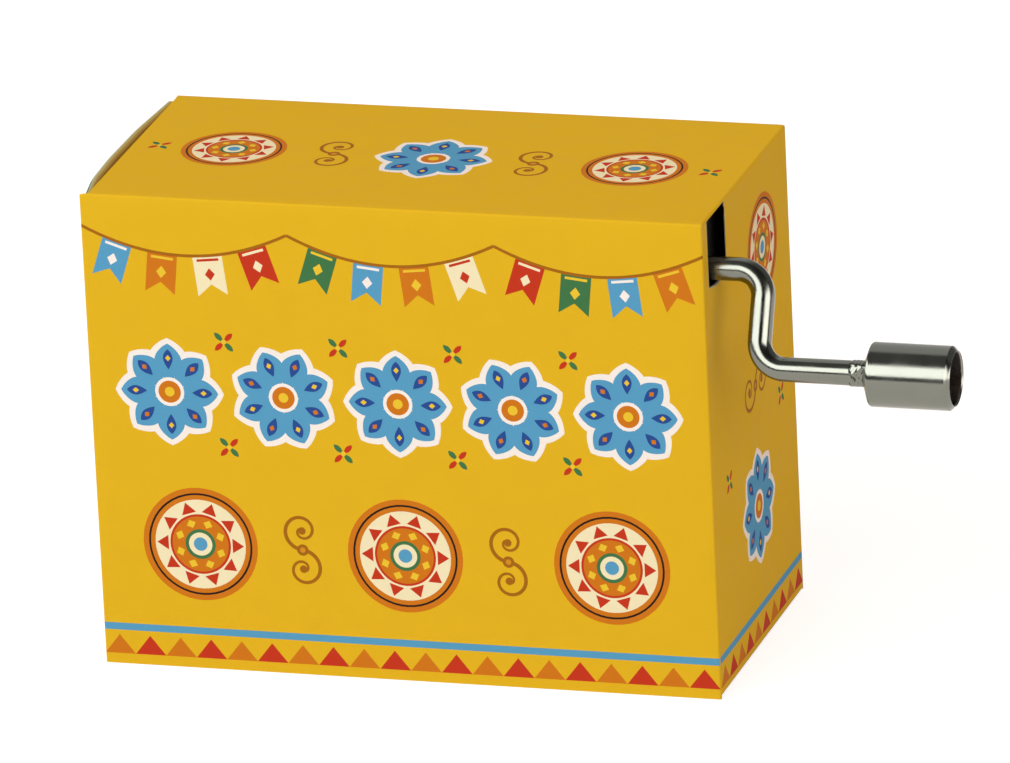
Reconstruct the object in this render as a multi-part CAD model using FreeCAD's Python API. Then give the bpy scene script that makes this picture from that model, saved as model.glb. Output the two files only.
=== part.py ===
import FreeCAD, Part

# Hand-cranked music box in a folding carton: an 18-note comb movement screwed to the
# carton's back panel, with its bent crank coming out of a notch in the right end.
# Millimetres. X runs right along the front, Y to the back, Z up. The origin is the
# centre of the carton's bottom face, on which the box stands.

import math
import os

from FreeCAD import Matrix, Vector

# Carton of folding board, as a reverse tuck end box
CARTON_WIDTH = 59.16
CARTON_DEPTH = 29.5
CARTON_HEIGHT = 46.5
BOARD = 0.4
FOLD_RADIUS = 0.5
LEAST_RADIUS = 0.1
END_FOLD_RADIUS = 0.3
CUT_EDGE_INSET = 0.5
LAYER_GAP = 0.02
TUCK_GAP = 0.05
END_PANEL_SIDE_GAP = 0.25
END_PANEL_FLOOR_GAP = 0.1
TUCK_LENGTH = 10.0
TUCK_SIDE_GAP = 0.25
TUCK_CORNER = 2.5
DUST_LENGTH = 12.5
DUST_TAPER = 2.0
DUST_FOLD_RELIEF = 0.5
DUST_TUCK_RELIEF = 3.0
GLUE_FLAP_HEIGHT = 9.0
GLUE_FLAP_END_GAP = 2.5
GLUE_FLAP_TAPER = 3.0

# Crank: one bent rod with a turned knob
ROD_DIAMETER = 2.3
CRANK_FROM_FRONT = 3.8
CRANK_FROM_TOP = 5.45
CRANK_THROW = 9.0
CRANK_TURN = 25.0
BEND_RADIUS = 2.5
ARM_OUTSIDE = 5.22
KNOB_OUTSIDE = 15.64
KNOB_DIAMETER = 6.0
KNOB_LENGTH = 8.4
KNOB_BORE = 4.9
KNOB_WEB = 2.6
KNOB_REAR_CONE = 0.55
KNOB_REAR_FACE_DIAMETER = 3.6
KNOB_LIP_CHAMFER = 0.4
BORE_CHAMFER = 0.1
EAR_LENGTH = 1.4
EAR_SLOPE = 0.35
EAR_SPAN = 2.7
EAR_THICKNESS = 1.9
PEEN_DIAMETER = 3.6
PEEN_TOP_DIAMETER = 1.8
PEEN_HEIGHT = 0.9
KNOB_END_PLAY = 0.1

# Notch that lets the crank out of the right end
NOTCH_FROM_FRONT = 1.65
NOTCH_BELOW_ROD = 0.65
NOTCH_RISE = 0.55
NOTCH_RISE_FROM = 0.7
NOTCH_BEHIND_ROD = 2.8
DUST_NOTCH_MARGIN = 2.5

# Fits
RUNNING_GAP = 0.05
SEAT_GAP = 0.01

# Worm drive
MODULE = 0.5
GEAR_TEETH = 24
GEAR_FACE = 3.0
WORM_PITCH_DIAMETER = 5.0
WORM_LENGTH = 8.0
ROOT_CLEARANCE = 0.125
BACKLASH = 0.18
THREAD_SINK = 0.15
SPARE_TURNS = 1
PRESSURE_ANGLE = 20.0

# Cylinder
CYLINDER_FROM_RIGHT = 16.5
DRUM_DIAMETER = 12.8
DRUM_WALL = 0.8
DRUM_LENGTH = 20.0
DRUM_BELOW_GEAR = 2.05
ARBOR_DIAMETER = 2.0
CAP_THICKNESS = 1.5
LOWER_HUB_DIAMETER = 4.4
UPPER_HUB_DIAMETER = 4.4
GEAR_HUB_DIAMETER = 6.0
GEAR_TO_BEARING = 0.75
CYLINDER_END_PLAY = 0.2
PIN_DIAMETER = 0.4
PIN_HEIGHT = 0.9
PIN_ROOT = 0.3
BEATS_PER_TURN = 80
TUNE_SHIFT = 5
TUNE_STEPS = (0, 4, 7, 11, 9, 2, 5, 12, 14, 7, 16, 10, 3, 17, 8, 13, 1, 6, 15, 10)

# Comb
COMB_TEETH = 18
TOOTH_PITCH = 1.0
TOOTH_GAP = 0.2
TOOTH_THICKNESS = 0.5
TOOTH_LENGTH = 14.0
COMB_THICKNESS = 1.2
COMB_BODY = 12.0
COMB_EDGE = 0.3
TIP_CLEARANCE = 0.12
WEIGHTED_TEETH = 7
WEIGHT_LENGTH = 3.5
WEIGHT_HEIGHT = 1.6
WEIGHT_STEP = 0.15
WEIGHT_FROM_TIP = 2.1
DAMPER_LENGTH = 1.6
DAMPER_WIDTH = 0.3
DAMPER_THICKNESS = 0.15
COMB_SCREW_SPACING = 10.0

# Base plate, a die cast tray
BASE_WIDTH = 49.5
BASE_PLATE = 2.0
BASE_RIM = 1.5
BASE_RIM_GAP = 0.45
BASE_CORNER = 2.0
BASE_TO_PINS = 1.15
BASE_ABOVE_CRANK = 2.45
BASE_FROM_RIGHT = 2.0
BASE_FROM_BOTTOM = 4.5
BOSS_DIAMETER = 6.0
BOSS_INSET = 3.5
SEAT_MARGIN = 0.5
LUG_WIDTH = 7.0
LUG_THICKNESS = 3.0
LUG_ABOVE_ARBOR = 3.0
LUG_BELOW_DRUM = 1.0

# Crank housing, one black moulding
HOUSING_FROM_RIGHT = 1.1
HOUSING_RIGHT_WALL = 3.4
HOUSING_LEFT_WALL = 2.0
HOUSING_INNER_WIDTH = 20.0
HOUSING_WEB = 1.4
HOUSING_FLOOR = 1.6
HOUSING_BELOW_CRANK = 4.05
HOUSING_TOP_GAP = 0.3
HOUSING_FRONT_GAP = 0.35
HOUSING_EAR = 6.5
HOUSING_SCREW_BELOW_CRANK = 1.0
ARBOR_BOSS_DIAMETER = 6.4
ARBOR_BLIND = 0.6
BUSH_DIAMETER = 4.0
BUSH_COVER = 0.9
CLIP_DIAMETER = 4.8
CLIP_THICKNESS = 0.8
CLIP_GAP = 0.2
CLIP_SLIT = 0.6

# Screws and washers
CARTON_SCREW = 2.6
CARTON_SCREW_HEAD = 4.6
CARTON_SCREW_HEAD_HEIGHT = 1.5
CARTON_SCREW_TIP_GAP = 0.75
CARTON_WASHER = 6.0
CARTON_WASHER_THICKNESS = 0.5
COMB_SCREW = 2.4
COMB_SCREW_HEAD = 4.0
COMB_SCREW_HEAD_HEIGHT = 1.3
COMB_SCREW_IN_SEAT = 6.0
COMB_WASHER = 5.0
COMB_WASHER_THICKNESS = 0.4
HOUSING_SCREW = 2.2
HOUSING_SCREW_HEAD = 3.8
HOUSING_SCREW_HEAD_HEIGHT = 1.4
SCREW_HOLE_GAP = 0.15
THREAD_GAP = 0.02
SLOT_WIDTH = 0.6
SLOT_DEPTH = 0.7
SLOT_DEPTH_SHARE = 0.7
CROSS_REACH_SHARE = 0.33

# How far a cutting tool reaches past the face that it cuts
PAST = 1.0
PARALLEL = 0.001

# Places worked out from the sizes above
RIGHT = CARTON_WIDTH / 2
FRONT = -CARTON_DEPTH / 2
BACK = CARTON_DEPTH / 2
INNER_FOLD_RADIUS = max(FOLD_RADIUS - BOARD, LEAST_RADIUS)
INNER_FRONT = FRONT + BOARD
INNER_BACK = BACK - BOARD
INNER_TOP = CARTON_HEIGHT - BOARD
END_INNER = RIGHT + LAYER_GAP
END_OUTER = END_INNER + BOARD
END_MIDDLE = END_INNER + BOARD / 2
END_HALF = CARTON_DEPTH / 2 - END_PANEL_SIDE_GAP
TUCK_HALF = CARTON_DEPTH / 2 - 2 * BOARD - TUCK_SIDE_GAP
TUCK_IN = BOARD + TUCK_GAP + BOARD

ROD_RADIUS = ROD_DIAMETER / 2
CRANK_Y = FRONT + CRANK_FROM_FRONT
CRANK_Z = CARTON_HEIGHT - CRANK_FROM_TOP
ARM_X = RIGHT + ARM_OUTSIDE
KNOB_X = RIGHT + KNOB_OUTSIDE
ARM_WAY = Vector(0, -math.sin(math.radians(CRANK_TURN)), -math.cos(math.radians(CRANK_TURN)))
HANDLE_Y = CRANK_Y + CRANK_THROW * ARM_WAY.y
HANDLE_Z = CRANK_Z + CRANK_THROW * ARM_WAY.z

NOTCH_FRONT = FRONT + NOTCH_FROM_FRONT
NOTCH_LOW = CRANK_Z - ROD_RADIUS - NOTCH_BELOW_ROD
NOTCH_BACK = CRANK_Y + ROD_RADIUS + NOTCH_BEHIND_ROD

LEAD = math.pi * MODULE
GEAR_RADIUS = GEAR_TEETH * MODULE / 2
GEAR_TIP = GEAR_RADIUS + MODULE
GEAR_ROOT = GEAR_RADIUS - MODULE - ROOT_CLEARANCE
WORM_RADIUS = WORM_PITCH_DIAMETER / 2
WORM_TIP = WORM_RADIUS + MODULE
WORM_ROOT = WORM_RADIUS - MODULE - ROOT_CLEARANCE
LEAD_SLOPE = LEAD / (math.pi * WORM_PITCH_DIAMETER)
TOOTH_AT_PITCH = LEAD / 2 - BACKLASH

CYLINDER_X = RIGHT - CYLINDER_FROM_RIGHT
CYLINDER_Y = CRANK_Y + WORM_RADIUS + GEAR_RADIUS
GEAR_BOTTOM = CRANK_Z - GEAR_FACE / 2
GEAR_TOP = CRANK_Z + GEAR_FACE / 2
BEARING_BOTTOM = GEAR_TOP + GEAR_TO_BEARING
DRUM_TOP = GEAR_BOTTOM - DRUM_BELOW_GEAR
DRUM_BOTTOM = DRUM_TOP - DRUM_LENGTH
DRUM_RADIUS = DRUM_DIAMETER / 2
PIN_CIRCLE = DRUM_RADIUS + PIN_HEIGHT

COMB_Z = (DRUM_TOP + DRUM_BOTTOM) / 2
COMB_HALF = COMB_TEETH * TOOTH_PITCH / 2
COMB_FRONT = CYLINDER_Y - TOOTH_THICKNESS / 2
COMB_SEAT = COMB_FRONT + COMB_THICKNESS
TIP_X = CYLINDER_X - PIN_CIRCLE - TIP_CLEARANCE
COMB_ROOT_X = TIP_X - TOOTH_LENGTH
COMB_LEFT = COMB_ROOT_X - COMB_BODY
COMB_SCREW_X = COMB_LEFT + COMB_BODY / 2

BASE_TOP = CYLINDER_Y + PIN_CIRCLE + BASE_TO_PINS
BASE_MIDDLE = BASE_TOP + BASE_PLATE / 2
BASE_UNDER = BASE_TOP + BASE_PLATE
BASE_RIGHT = RIGHT - BASE_FROM_RIGHT
BASE_LEFT = BASE_RIGHT - BASE_WIDTH
BASE_HIGH = CRANK_Z + BASE_ABOVE_CRANK
BASE_LOW = BASE_FROM_BOTTOM
LUG_TOP = DRUM_BOTTOM - LUG_BELOW_DRUM
CARTON_SCREW_LENGTH = BACK - BASE_UNDER - CARTON_SCREW_TIP_GAP

HOUSING_RIGHT = RIGHT - HOUSING_FROM_RIGHT
HOUSING_IN_RIGHT = HOUSING_RIGHT - HOUSING_RIGHT_WALL
HOUSING_IN_LEFT = HOUSING_IN_RIGHT - HOUSING_INNER_WIDTH
HOUSING_LEFT = HOUSING_IN_LEFT - HOUSING_LEFT_WALL
HOUSING_FRONT = INNER_FRONT + HOUSING_FRONT_GAP
HOUSING_TOP = INNER_TOP - HOUSING_TOP_GAP
HOUSING_LOW = CRANK_Z - HOUSING_BELOW_CRANK
HOUSING_FLOOR_FRONT = BASE_TOP - HOUSING_FLOOR
HOUSING_SCREW_Z = CRANK_Z - HOUSING_SCREW_BELOW_CRANK

X_AXIS = Vector(1, 0, 0)
Y_AXIS = Vector(0, 1, 0)
Z_AXIS = Vector(0, 0, 1)


def box(x, y, z):
    """A box from three (low, high) pairs."""
    corner = Vector(x[0], y[0], z[0])
    return Part.makeBox(x[1] - x[0], y[1] - y[0], z[1] - z[0], corner)


def rod(start, way, diameter, length):
    """A round bar from a point along a direction."""
    return Part.makeCylinder(diameter / 2, length, start, way)


def ring(start, way, outer, inner, length):
    """A round bar with a round bore through it."""
    return rod(start, way, outer, length).cut(rod(start, way, inner, length))


def plate_in_x(outline, low, high):
    """A flat plate between two X planes, from its outline in Y and Z."""
    points = [Vector(low, y, z) for y, z in outline]
    face = Part.Face(Part.makePolygon(points + points[:1]))
    return face.extrude(Vector(high - low, 0, 0))


def plate_in_z(outline, low, high):
    """A flat plate between two Z planes, from its outline in X and Y."""
    points = [Vector(x, y, low) for x, y in outline]
    face = Part.Face(Part.makePolygon(points + points[:1]))
    return face.extrude(Vector(0, 0, high - low))


def plate_in_y(outline, low, high):
    """A flat plate between two Y planes, from its outline in X and Z."""
    points = [Vector(x, low, z) for x, z in outline]
    face = Part.Face(Part.makePolygon(points + points[:1]))
    return face.extrude(Vector(0, high - low, 0))


def rounded_box(x, y, z, way, radius):
    """A box whose four edges along one direction are rounded."""
    solid = box(x, y, z)
    edges = [e for e in solid.Edges if e.tangentAt(e.FirstParameter).cross(way).Length < PARALLEL]
    return solid.makeFillet(radius, edges)


def mirrored_in_x(shape):
    """The shape's mirror image in the plane X = 0."""
    return shape.mirror(Vector(0, 0, 0), X_AXIS)


def sleeve():
    """Front, top, back and bottom panels. Top left and bottom right end in cut edges."""
    whole = (-RIGHT, RIGHT)
    outer = rounded_box(whole, (FRONT, BACK), (0, CARTON_HEIGHT), X_AXIS, FOLD_RADIUS)
    plan = rounded_box(whole, (FRONT, BACK), (0, CARTON_HEIGHT), Z_AXIS, END_FOLD_RADIUS)
    beyond = (-RIGHT - PAST, RIGHT + PAST)
    depth = (INNER_FRONT, INNER_BACK)
    inner = rounded_box(beyond, depth, (BOARD, INNER_TOP), X_AXIS, INNER_FOLD_RADIUS)
    shell = outer.common(plan).cut(inner)
    half = CARTON_DEPTH / 2 - max(FOLD_RADIUS, BOARD)
    left = (-RIGHT - PAST, -RIGHT + CUT_EDGE_INSET)
    right = (RIGHT - CUT_EDGE_INSET, RIGHT + PAST)
    top_edge = box(left, (-half, half), (INNER_TOP - PAST, CARTON_HEIGHT + PAST))
    bottom_edge = box(right, (-half, half), (-PAST, BOARD + PAST))
    shell = shell.cut(top_edge).cut(bottom_edge)
    for x, z in carton_screw_places():
        start = Vector(x, INNER_BACK - PAST, z)
        hole = rod(start, Y_AXIS, CARTON_SCREW + 2 * SCREW_HOLE_GAP, BOARD + 2 * PAST)
        shell = shell.cut(hole)
    return shell


def glue_flap():
    """The flap that closes the sleeve, glued inside the front panel from the bottom fold."""
    reach = RIGHT - GLUE_FLAP_END_GAP
    low = BOARD + INNER_FOLD_RADIUS
    high = BOARD + GLUE_FLAP_HEIGHT
    short = reach - GLUE_FLAP_TAPER
    outline = [(-reach, low), (reach, low), (short, high), (-short, high)]
    return plate_in_y(outline, INNER_FRONT, INNER_FRONT + BOARD)


def notch_outline(margin):
    """The notch seen from the end, open at the top, with a floor that rises to the front."""
    back = NOTCH_BACK + margin
    front = NOTCH_FRONT - margin
    low = NOTCH_LOW - margin
    high = CARTON_HEIGHT + PAST
    slope_end = CRANK_Y + NOTCH_RISE_FROM
    at_front = low + NOTCH_RISE
    return [(front, high), (front, at_front), (slope_end, low), (back, low), (back, high)]


def end_panel(fold_z, tuck_z, corner_z):
    """An end panel on the right: a round fold edge at one end, the tuck fold at the other."""
    half = (-END_HALF, END_HALF)
    span = (min(fold_z, tuck_z), max(fold_z, tuck_z))
    flat = box((END_INNER, END_OUTER), half, span)
    start = Vector(END_MIDDLE, -END_HALF, fold_z)
    fold = rod(start, Y_AXIS, BOARD, 2 * END_HALF)
    start = Vector(END_INNER, -END_HALF, tuck_z)
    round_bar = rod(start, Y_AXIS, 2 * BOARD, 2 * END_HALF)
    quarter = box((END_INNER, END_OUTER), half, (min(tuck_z, corner_z), max(tuck_z, corner_z)))
    return flat.fuse([fold, round_bar.common(quarter)]).removeSplitter()


def right_end_panel():
    """The end panel that hangs from the top fold to just above the table, with the crank's notch."""
    panel = end_panel(CARTON_HEIGHT - BOARD / 2, TUCK_IN, TUCK_IN - BOARD)
    foot = box((END_INNER, END_OUTER), (-END_HALF, END_HALF), (END_PANEL_FLOOR_GAP, TUCK_IN))
    panel = panel.fuse(foot).removeSplitter()
    return panel.cut(plate_in_x(notch_outline(0), END_INNER - PAST, END_OUTER + PAST))


def left_end_panel():
    """The end panel that stands on the bottom fold."""
    tuck_z = CARTON_HEIGHT - TUCK_IN
    return mirrored_in_x(end_panel(BOARD / 2, tuck_z, tuck_z + BOARD))


def tuck_flap(low):
    """The flap on the right that goes in from the end panel's free edge."""
    free = END_INNER - TUCK_LENGTH
    corner = TUCK_HALF - TUCK_CORNER
    outline = [
        (END_INNER, -TUCK_HALF),
        (END_INNER, TUCK_HALF),
        (free + TUCK_CORNER, TUCK_HALF),
        (free, corner),
        (free, -corner),
        (free + TUCK_CORNER, -TUCK_HALF),
    ]
    return plate_in_z(outline, low, low + BOARD)


def dust_flap(fold_at_top):
    """The front flap on the right, whose edge by the tuck flap stands well back."""
    fold_relief = BOARD + DUST_FOLD_RELIEF
    low, high = fold_relief, CARTON_HEIGHT - DUST_TUCK_RELIEF
    if fold_at_top:
        low, high = DUST_TUCK_RELIEF, CARTON_HEIGHT - fold_relief
    free = INNER_FRONT + DUST_LENGTH
    outline = [
        (INNER_FRONT, low),
        (free, low + DUST_TAPER),
        (free, high - DUST_TAPER),
        (INNER_FRONT, high),
    ]
    return plate_in_x(outline, RIGHT - BOARD, RIGHT)


def dust_flaps():
    """Front and rear dust flaps of both ends, by name."""
    right = dust_flap(True)
    left = mirrored_in_x(dust_flap(False))
    outline = notch_outline(DUST_NOTCH_MARGIN)
    notch = plate_in_x(outline, RIGHT - BOARD - PAST, RIGHT + PAST)
    return {
        "dust_flap_right_front": right.cut(notch),
        "dust_flap_right_rear": right.mirror(Vector(0, 0, 0), Y_AXIS),
        "dust_flap_left_front": left,
        "dust_flap_left_rear": left.mirror(Vector(0, 0, 0), Y_AXIS),
    }


def quarter_bend(centre, start, axis):
    """The rod's round section turned a quarter about a bend's centre."""
    section = Part.Face(Part.Wire(Part.makeCircle(ROD_RADIUS, start, X_AXIS)))
    return section.revolve(centre, axis, 90)


def crank_rod():
    """Shaft, arm and handle of one bent rod, with the knob's ears and peened end."""
    hinge = X_AXIS.cross(ARM_WAY)
    shaft_start = Vector(shaft_left(), CRANK_Y, CRANK_Z)
    bend_start = Vector(ARM_X - BEND_RADIUS, CRANK_Y, CRANK_Z)
    shaft = rod(shaft_start, X_AXIS, ROD_DIAMETER, bend_start.x - shaft_start.x)
    first_bend = quarter_bend(bend_start + ARM_WAY * BEND_RADIUS, bend_start, hinge)
    arm_start = Vector(ARM_X, CRANK_Y, CRANK_Z) + ARM_WAY * BEND_RADIUS
    arm = rod(arm_start, ARM_WAY, ROD_DIAMETER, CRANK_THROW - 2 * BEND_RADIUS)
    handle_start = Vector(ARM_X + BEND_RADIUS, HANDLE_Y, HANDLE_Z)
    second_bend = quarter_bend(handle_start - ARM_WAY * BEND_RADIUS, handle_start, hinge)
    peen_start = KNOB_X + KNOB_WEB + KNOB_END_PLAY
    handle = rod(handle_start, X_AXIS, ROD_DIAMETER, peen_start - handle_start.x)
    solid = shaft.fuse([first_bend, arm, second_bend, handle, ears(), peened_end(peen_start)])
    return solid.removeSplitter()


def ears():
    """The wings that squeezing the rod raises behind the knob, above and below."""
    high = KNOB_X - KNOB_END_PLAY
    low = high - EAR_LENGTH
    reach = EAR_SPAN / 2
    outline = [
        (low, HANDLE_Z - ROD_RADIUS),
        (low + EAR_SLOPE, HANDLE_Z - reach),
        (high, HANDLE_Z - reach),
        (high, HANDLE_Z + reach),
        (low + EAR_SLOPE, HANDLE_Z + reach),
        (low, HANDLE_Z + ROD_RADIUS),
    ]
    return plate_in_y(outline, HANDLE_Y - EAR_THICKNESS / 2, HANDLE_Y + EAR_THICKNESS / 2)


def peened_end(start):
    """The mushroom that keeps the knob on the rod."""
    base = Vector(start, HANDLE_Y, HANDLE_Z)
    return Part.makeCone(PEEN_DIAMETER / 2, PEEN_TOP_DIAMETER / 2, PEEN_HEIGHT, base, X_AXIS)


def revolved_about_x(profile, y, z):
    """A solid of revolution about a line along X, from its outline in X and radius."""
    points = [Vector(x, radius, 0) for x, radius in profile]
    face = Part.Face(Part.makePolygon(points + points[:1]))
    solid = face.revolve(Vector(0, 0, 0), X_AXIS, 360)
    solid.translate(Vector(0, y, z))
    return solid


def knob():
    """Turned cup, open at its outer end, that spins on the handle."""
    radius = KNOB_DIAMETER / 2
    hole = ROD_RADIUS + RUNNING_GAP
    bore = KNOB_BORE / 2
    end = KNOB_X + KNOB_LENGTH
    floor = KNOB_X + KNOB_WEB
    profile = [
        (KNOB_X, hole),
        (KNOB_X, KNOB_REAR_FACE_DIAMETER / 2),
        (KNOB_X + KNOB_REAR_CONE, radius),
        (end - KNOB_LIP_CHAMFER, radius),
        (end, radius - KNOB_LIP_CHAMFER),
        (end, bore + BORE_CHAMFER),
        (end - BORE_CHAMFER, bore),
        (floor, bore),
        (floor, hole),
    ]
    return revolved_about_x(profile, HANDLE_Y, HANDLE_Z)


def shaft_left():
    """The inner end of the crank's shaft, a clip's thickness past its last clip."""
    return HOUSING_LEFT - CLIP_GAP - 2 * CLIP_THICKNESS


def shaft_clips():
    """Two slit push-on rings that hold the shaft each side of the housing's left wall."""
    rings = []
    for low in (HOUSING_LEFT - CLIP_GAP - CLIP_THICKNESS, HOUSING_IN_LEFT + CLIP_GAP):
        start = Vector(low, CRANK_Y, CRANK_Z)
        clip = ring(start, X_AXIS, CLIP_DIAMETER, ROD_DIAMETER + 2 * SEAT_GAP, CLIP_THICKNESS)
        slit = box(
            (low - PAST, low + CLIP_THICKNESS + PAST),
            (CRANK_Y - CLIP_SLIT / 2, CRANK_Y + CLIP_SLIT / 2),
            (CRANK_Z - CLIP_DIAMETER, CRANK_Z),
        )
        rings.append(clip.cut(slit))
    return Part.makeCompound(rings)


def worm():
    """Single right-hand thread on a core that is fixed on the shaft."""
    tangent = math.tan(math.radians(PRESSURE_ANGLE))
    sink = min(THREAD_SINK, (WORM_ROOT - ROD_RADIUS) / 2)
    root_radius = WORM_ROOT - sink
    root_half = TOOTH_AT_PITCH / 2 + (WORM_RADIUS - root_radius) * tangent
    tip_half = TOOTH_AT_PITCH / 2 - MODULE * tangent
    turns = math.ceil(WORM_LENGTH / LEAD) + 2 * SPARE_TURNS
    helix = Part.makeHelix(LEAD, turns * LEAD, WORM_RADIUS)
    section = [
        Vector(root_radius, 0, -root_half),
        Vector(WORM_TIP, 0, -tip_half),
        Vector(WORM_TIP, 0, tip_half),
        Vector(root_radius, 0, root_half),
    ]
    thread = Part.Wire(helix).makePipeShell([Part.makePolygon(section + section[:1])], True, True)
    onto_x = Matrix(0, 0, 1, 0, 0, 1, 0, 0, -1, 0, 0, 0, 0, 0, 0, 1)
    thread = thread.transformed(onto_x)
    low = CYLINDER_X - WORM_LENGTH / 2
    groove_at_gear = CYLINDER_X + LEAD / 4
    turns_before = math.ceil(WORM_LENGTH / 2 / LEAD) + SPARE_TURNS
    first_turn = groove_at_gear - turns_before * LEAD
    thread.translate(Vector(first_turn, CRANK_Y, CRANK_Z))
    start = Vector(low, CRANK_Y, CRANK_Z)
    thread = thread.common(rod(start, X_AXIS, 2 * (WORM_TIP + PAST), WORM_LENGTH))
    core = rod(start, X_AXIS, 2 * WORM_ROOT, WORM_LENGTH)
    bore = rod(start, X_AXIS, ROD_DIAMETER + 2 * SEAT_GAP, WORM_LENGTH)
    return core.fuse(thread).cut(bore)


def gear_outline(height, turn):
    """The gear's toothed outline at one height, turned about its axis."""
    base_radius = GEAR_RADIUS * math.cos(math.radians(PRESSURE_ANGLE))
    involute = math.tan(math.radians(PRESSURE_ANGLE)) - math.radians(PRESSURE_ANGLE)
    flank = []
    for radius in (max(base_radius, GEAR_ROOT), GEAR_RADIUS, GEAR_TIP):
        angle = math.acos(min(1, base_radius / radius))
        half = TOOTH_AT_PITCH / 2 / GEAR_RADIUS + involute - (math.tan(angle) - angle)
        flank.append((radius, half))
    flank.insert(0, (GEAR_ROOT, flank[0][1]))
    points = []
    for tooth in range(GEAR_TEETH):
        middle = 2 * math.pi * tooth / GEAR_TEETH + turn
        around = [(r, middle - h) for r, h in flank] + [(r, middle + h) for r, h in reversed(flank)]
        points += [Vector(r * math.cos(a), r * math.sin(a), height) for r, a in around]
    return Part.makePolygon(points + points[:1])


def cylinder_gear():
    """Gear of slanted teeth with hubs below and above, on the cylinder's arbor."""
    slant = LEAD_SLOPE * GEAR_FACE / 2 / GEAR_RADIUS
    outlines = [gear_outline(GEAR_BOTTOM, -slant), gear_outline(GEAR_TOP, slant)]
    wheel = Part.makeLoft(outlines, True, True)
    wheel.translate(Vector(CYLINDER_X, CYLINDER_Y, 0))
    axis_low = Vector(CYLINDER_X, CYLINDER_Y, DRUM_TOP)
    axis_high = Vector(CYLINDER_X, CYLINDER_Y, GEAR_TOP)
    lower = rod(axis_low, Z_AXIS, GEAR_HUB_DIAMETER, GEAR_BOTTOM - DRUM_TOP)
    upper = rod(axis_high, Z_AXIS, UPPER_HUB_DIAMETER, GEAR_TO_BEARING - CYLINDER_END_PLAY)
    bore = rod(axis_low, Z_AXIS, ARBOR_DIAMETER + 2 * SEAT_GAP, BEARING_BOTTOM - DRUM_TOP)
    return wheel.fuse([lower, upper]).cut(bore)


def cylinder_drum():
    """Brass tube that carries the pins."""
    start = Vector(CYLINDER_X, CYLINDER_Y, DRUM_BOTTOM)
    return ring(start, Z_AXIS, DRUM_DIAMETER, DRUM_DIAMETER - 2 * DRUM_WALL, DRUM_LENGTH)


def cap(low, hub_low, hub_diameter):
    """A disc that centres the drum on the arbor, with a hub below it."""
    outer = DRUM_DIAMETER - 2 * DRUM_WALL - 2 * SEAT_GAP
    solid = rod(Vector(CYLINDER_X, CYLINDER_Y, low), Z_AXIS, outer, CAP_THICKNESS)
    start = Vector(CYLINDER_X, CYLINDER_Y, hub_low)
    if low > hub_low:
        solid = solid.fuse(rod(start, Z_AXIS, hub_diameter, low - hub_low)).removeSplitter()
    top = low + CAP_THICKNESS
    return solid.cut(rod(start, Z_AXIS, ARBOR_DIAMETER + 2 * SEAT_GAP, top - hub_low))


def drum_lower_cap():
    """The cap whose hub runs on the base plate's lug."""
    return cap(DRUM_BOTTOM, LUG_TOP + CYLINDER_END_PLAY, LOWER_HUB_DIAMETER)


def drum_upper_cap():
    """The cap that the gear's hub seats on."""
    low = DRUM_TOP - CAP_THICKNESS
    return cap(low, low - CAP_THICKNESS, LOWER_HUB_DIAMETER)


def cylinder_arbor():
    """Steel pin that the cylinder and its gear are fixed on."""
    low = LUG_TOP - LUG_THICKNESS + CYLINDER_END_PLAY
    high = HOUSING_TOP - ARBOR_BLIND - CYLINDER_END_PLAY
    return rod(Vector(CYLINDER_X, CYLINDER_Y, low), Z_AXIS, ARBOR_DIAMETER, high - low)


def track_z(track):
    """The height of a tooth's middle, which is its track on the drum."""
    return COMB_Z - COMB_HALF + (track + 0.5) * TOOTH_PITCH


def cylinder_pins():
    """Pins of a made-up pattern of notes, each at its tooth's height."""
    pins = []
    for beat in range(BEATS_PER_TURN):
        step = TUNE_STEPS[beat % len(TUNE_STEPS)]
        track = (step + TUNE_SHIFT * (beat // len(TUNE_STEPS))) % COMB_TEETH
        angle = math.pi * (2 * beat + 1) / BEATS_PER_TURN
        way = Vector(math.cos(angle), math.sin(angle), 0)
        axis = Vector(CYLINDER_X, CYLINDER_Y, track_z(track))
        start = axis + way * (DRUM_RADIUS - PIN_ROOT)
        pins.append(rod(start, way, PIN_DIAMETER, PIN_ROOT + PIN_HEIGHT))
    return Part.makeCompound(pins)


def comb_screw_places():
    """The comb screws' (X, Z) places."""
    return [(COMB_SCREW_X, COMB_Z + side * COMB_SCREW_SPACING / 2) for side in (-1, 1)]


def comb():
    """Steel comb: a thick body with thin teeth that end just short of the pins."""
    half = COMB_HALF + COMB_EDGE
    body = box(
        (COMB_LEFT, COMB_ROOT_X), (COMB_FRONT, COMB_SEAT), (COMB_Z - half, COMB_Z + half)
    )
    teeth = []
    for track in range(COMB_TEETH):
        reach = (TOOTH_PITCH - TOOTH_GAP) / 2
        teeth.append(
            box(
                (COMB_ROOT_X, TIP_X),
                (COMB_FRONT, COMB_FRONT + TOOTH_THICKNESS),
                (track_z(track) - reach, track_z(track) + reach),
            )
        )
    solid = body.fuse(teeth).removeSplitter()
    for x, z in comb_screw_places():
        start = Vector(x, COMB_FRONT - PAST, z)
        hole = rod(start, Y_AXIS, COMB_SCREW + 2 * SCREW_HOLE_GAP, COMB_THICKNESS + 2 * PAST)
        solid = solid.cut(hole)
    return solid


def under_long_teeth(from_tip, length, width, height_of):
    """Small blocks under the tips of the long teeth, one for each."""
    blocks = []
    under = COMB_FRONT + TOOTH_THICKNESS
    for track in range(WEIGHTED_TEETH):
        z = track_z(track)
        high = TIP_X - from_tip
        blocks.append(
            box(
                (high - length, high),
                (under, under + height_of(track)),
                (z - width / 2, z + width / 2),
            )
        )
    return Part.makeCompound(blocks)


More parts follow.
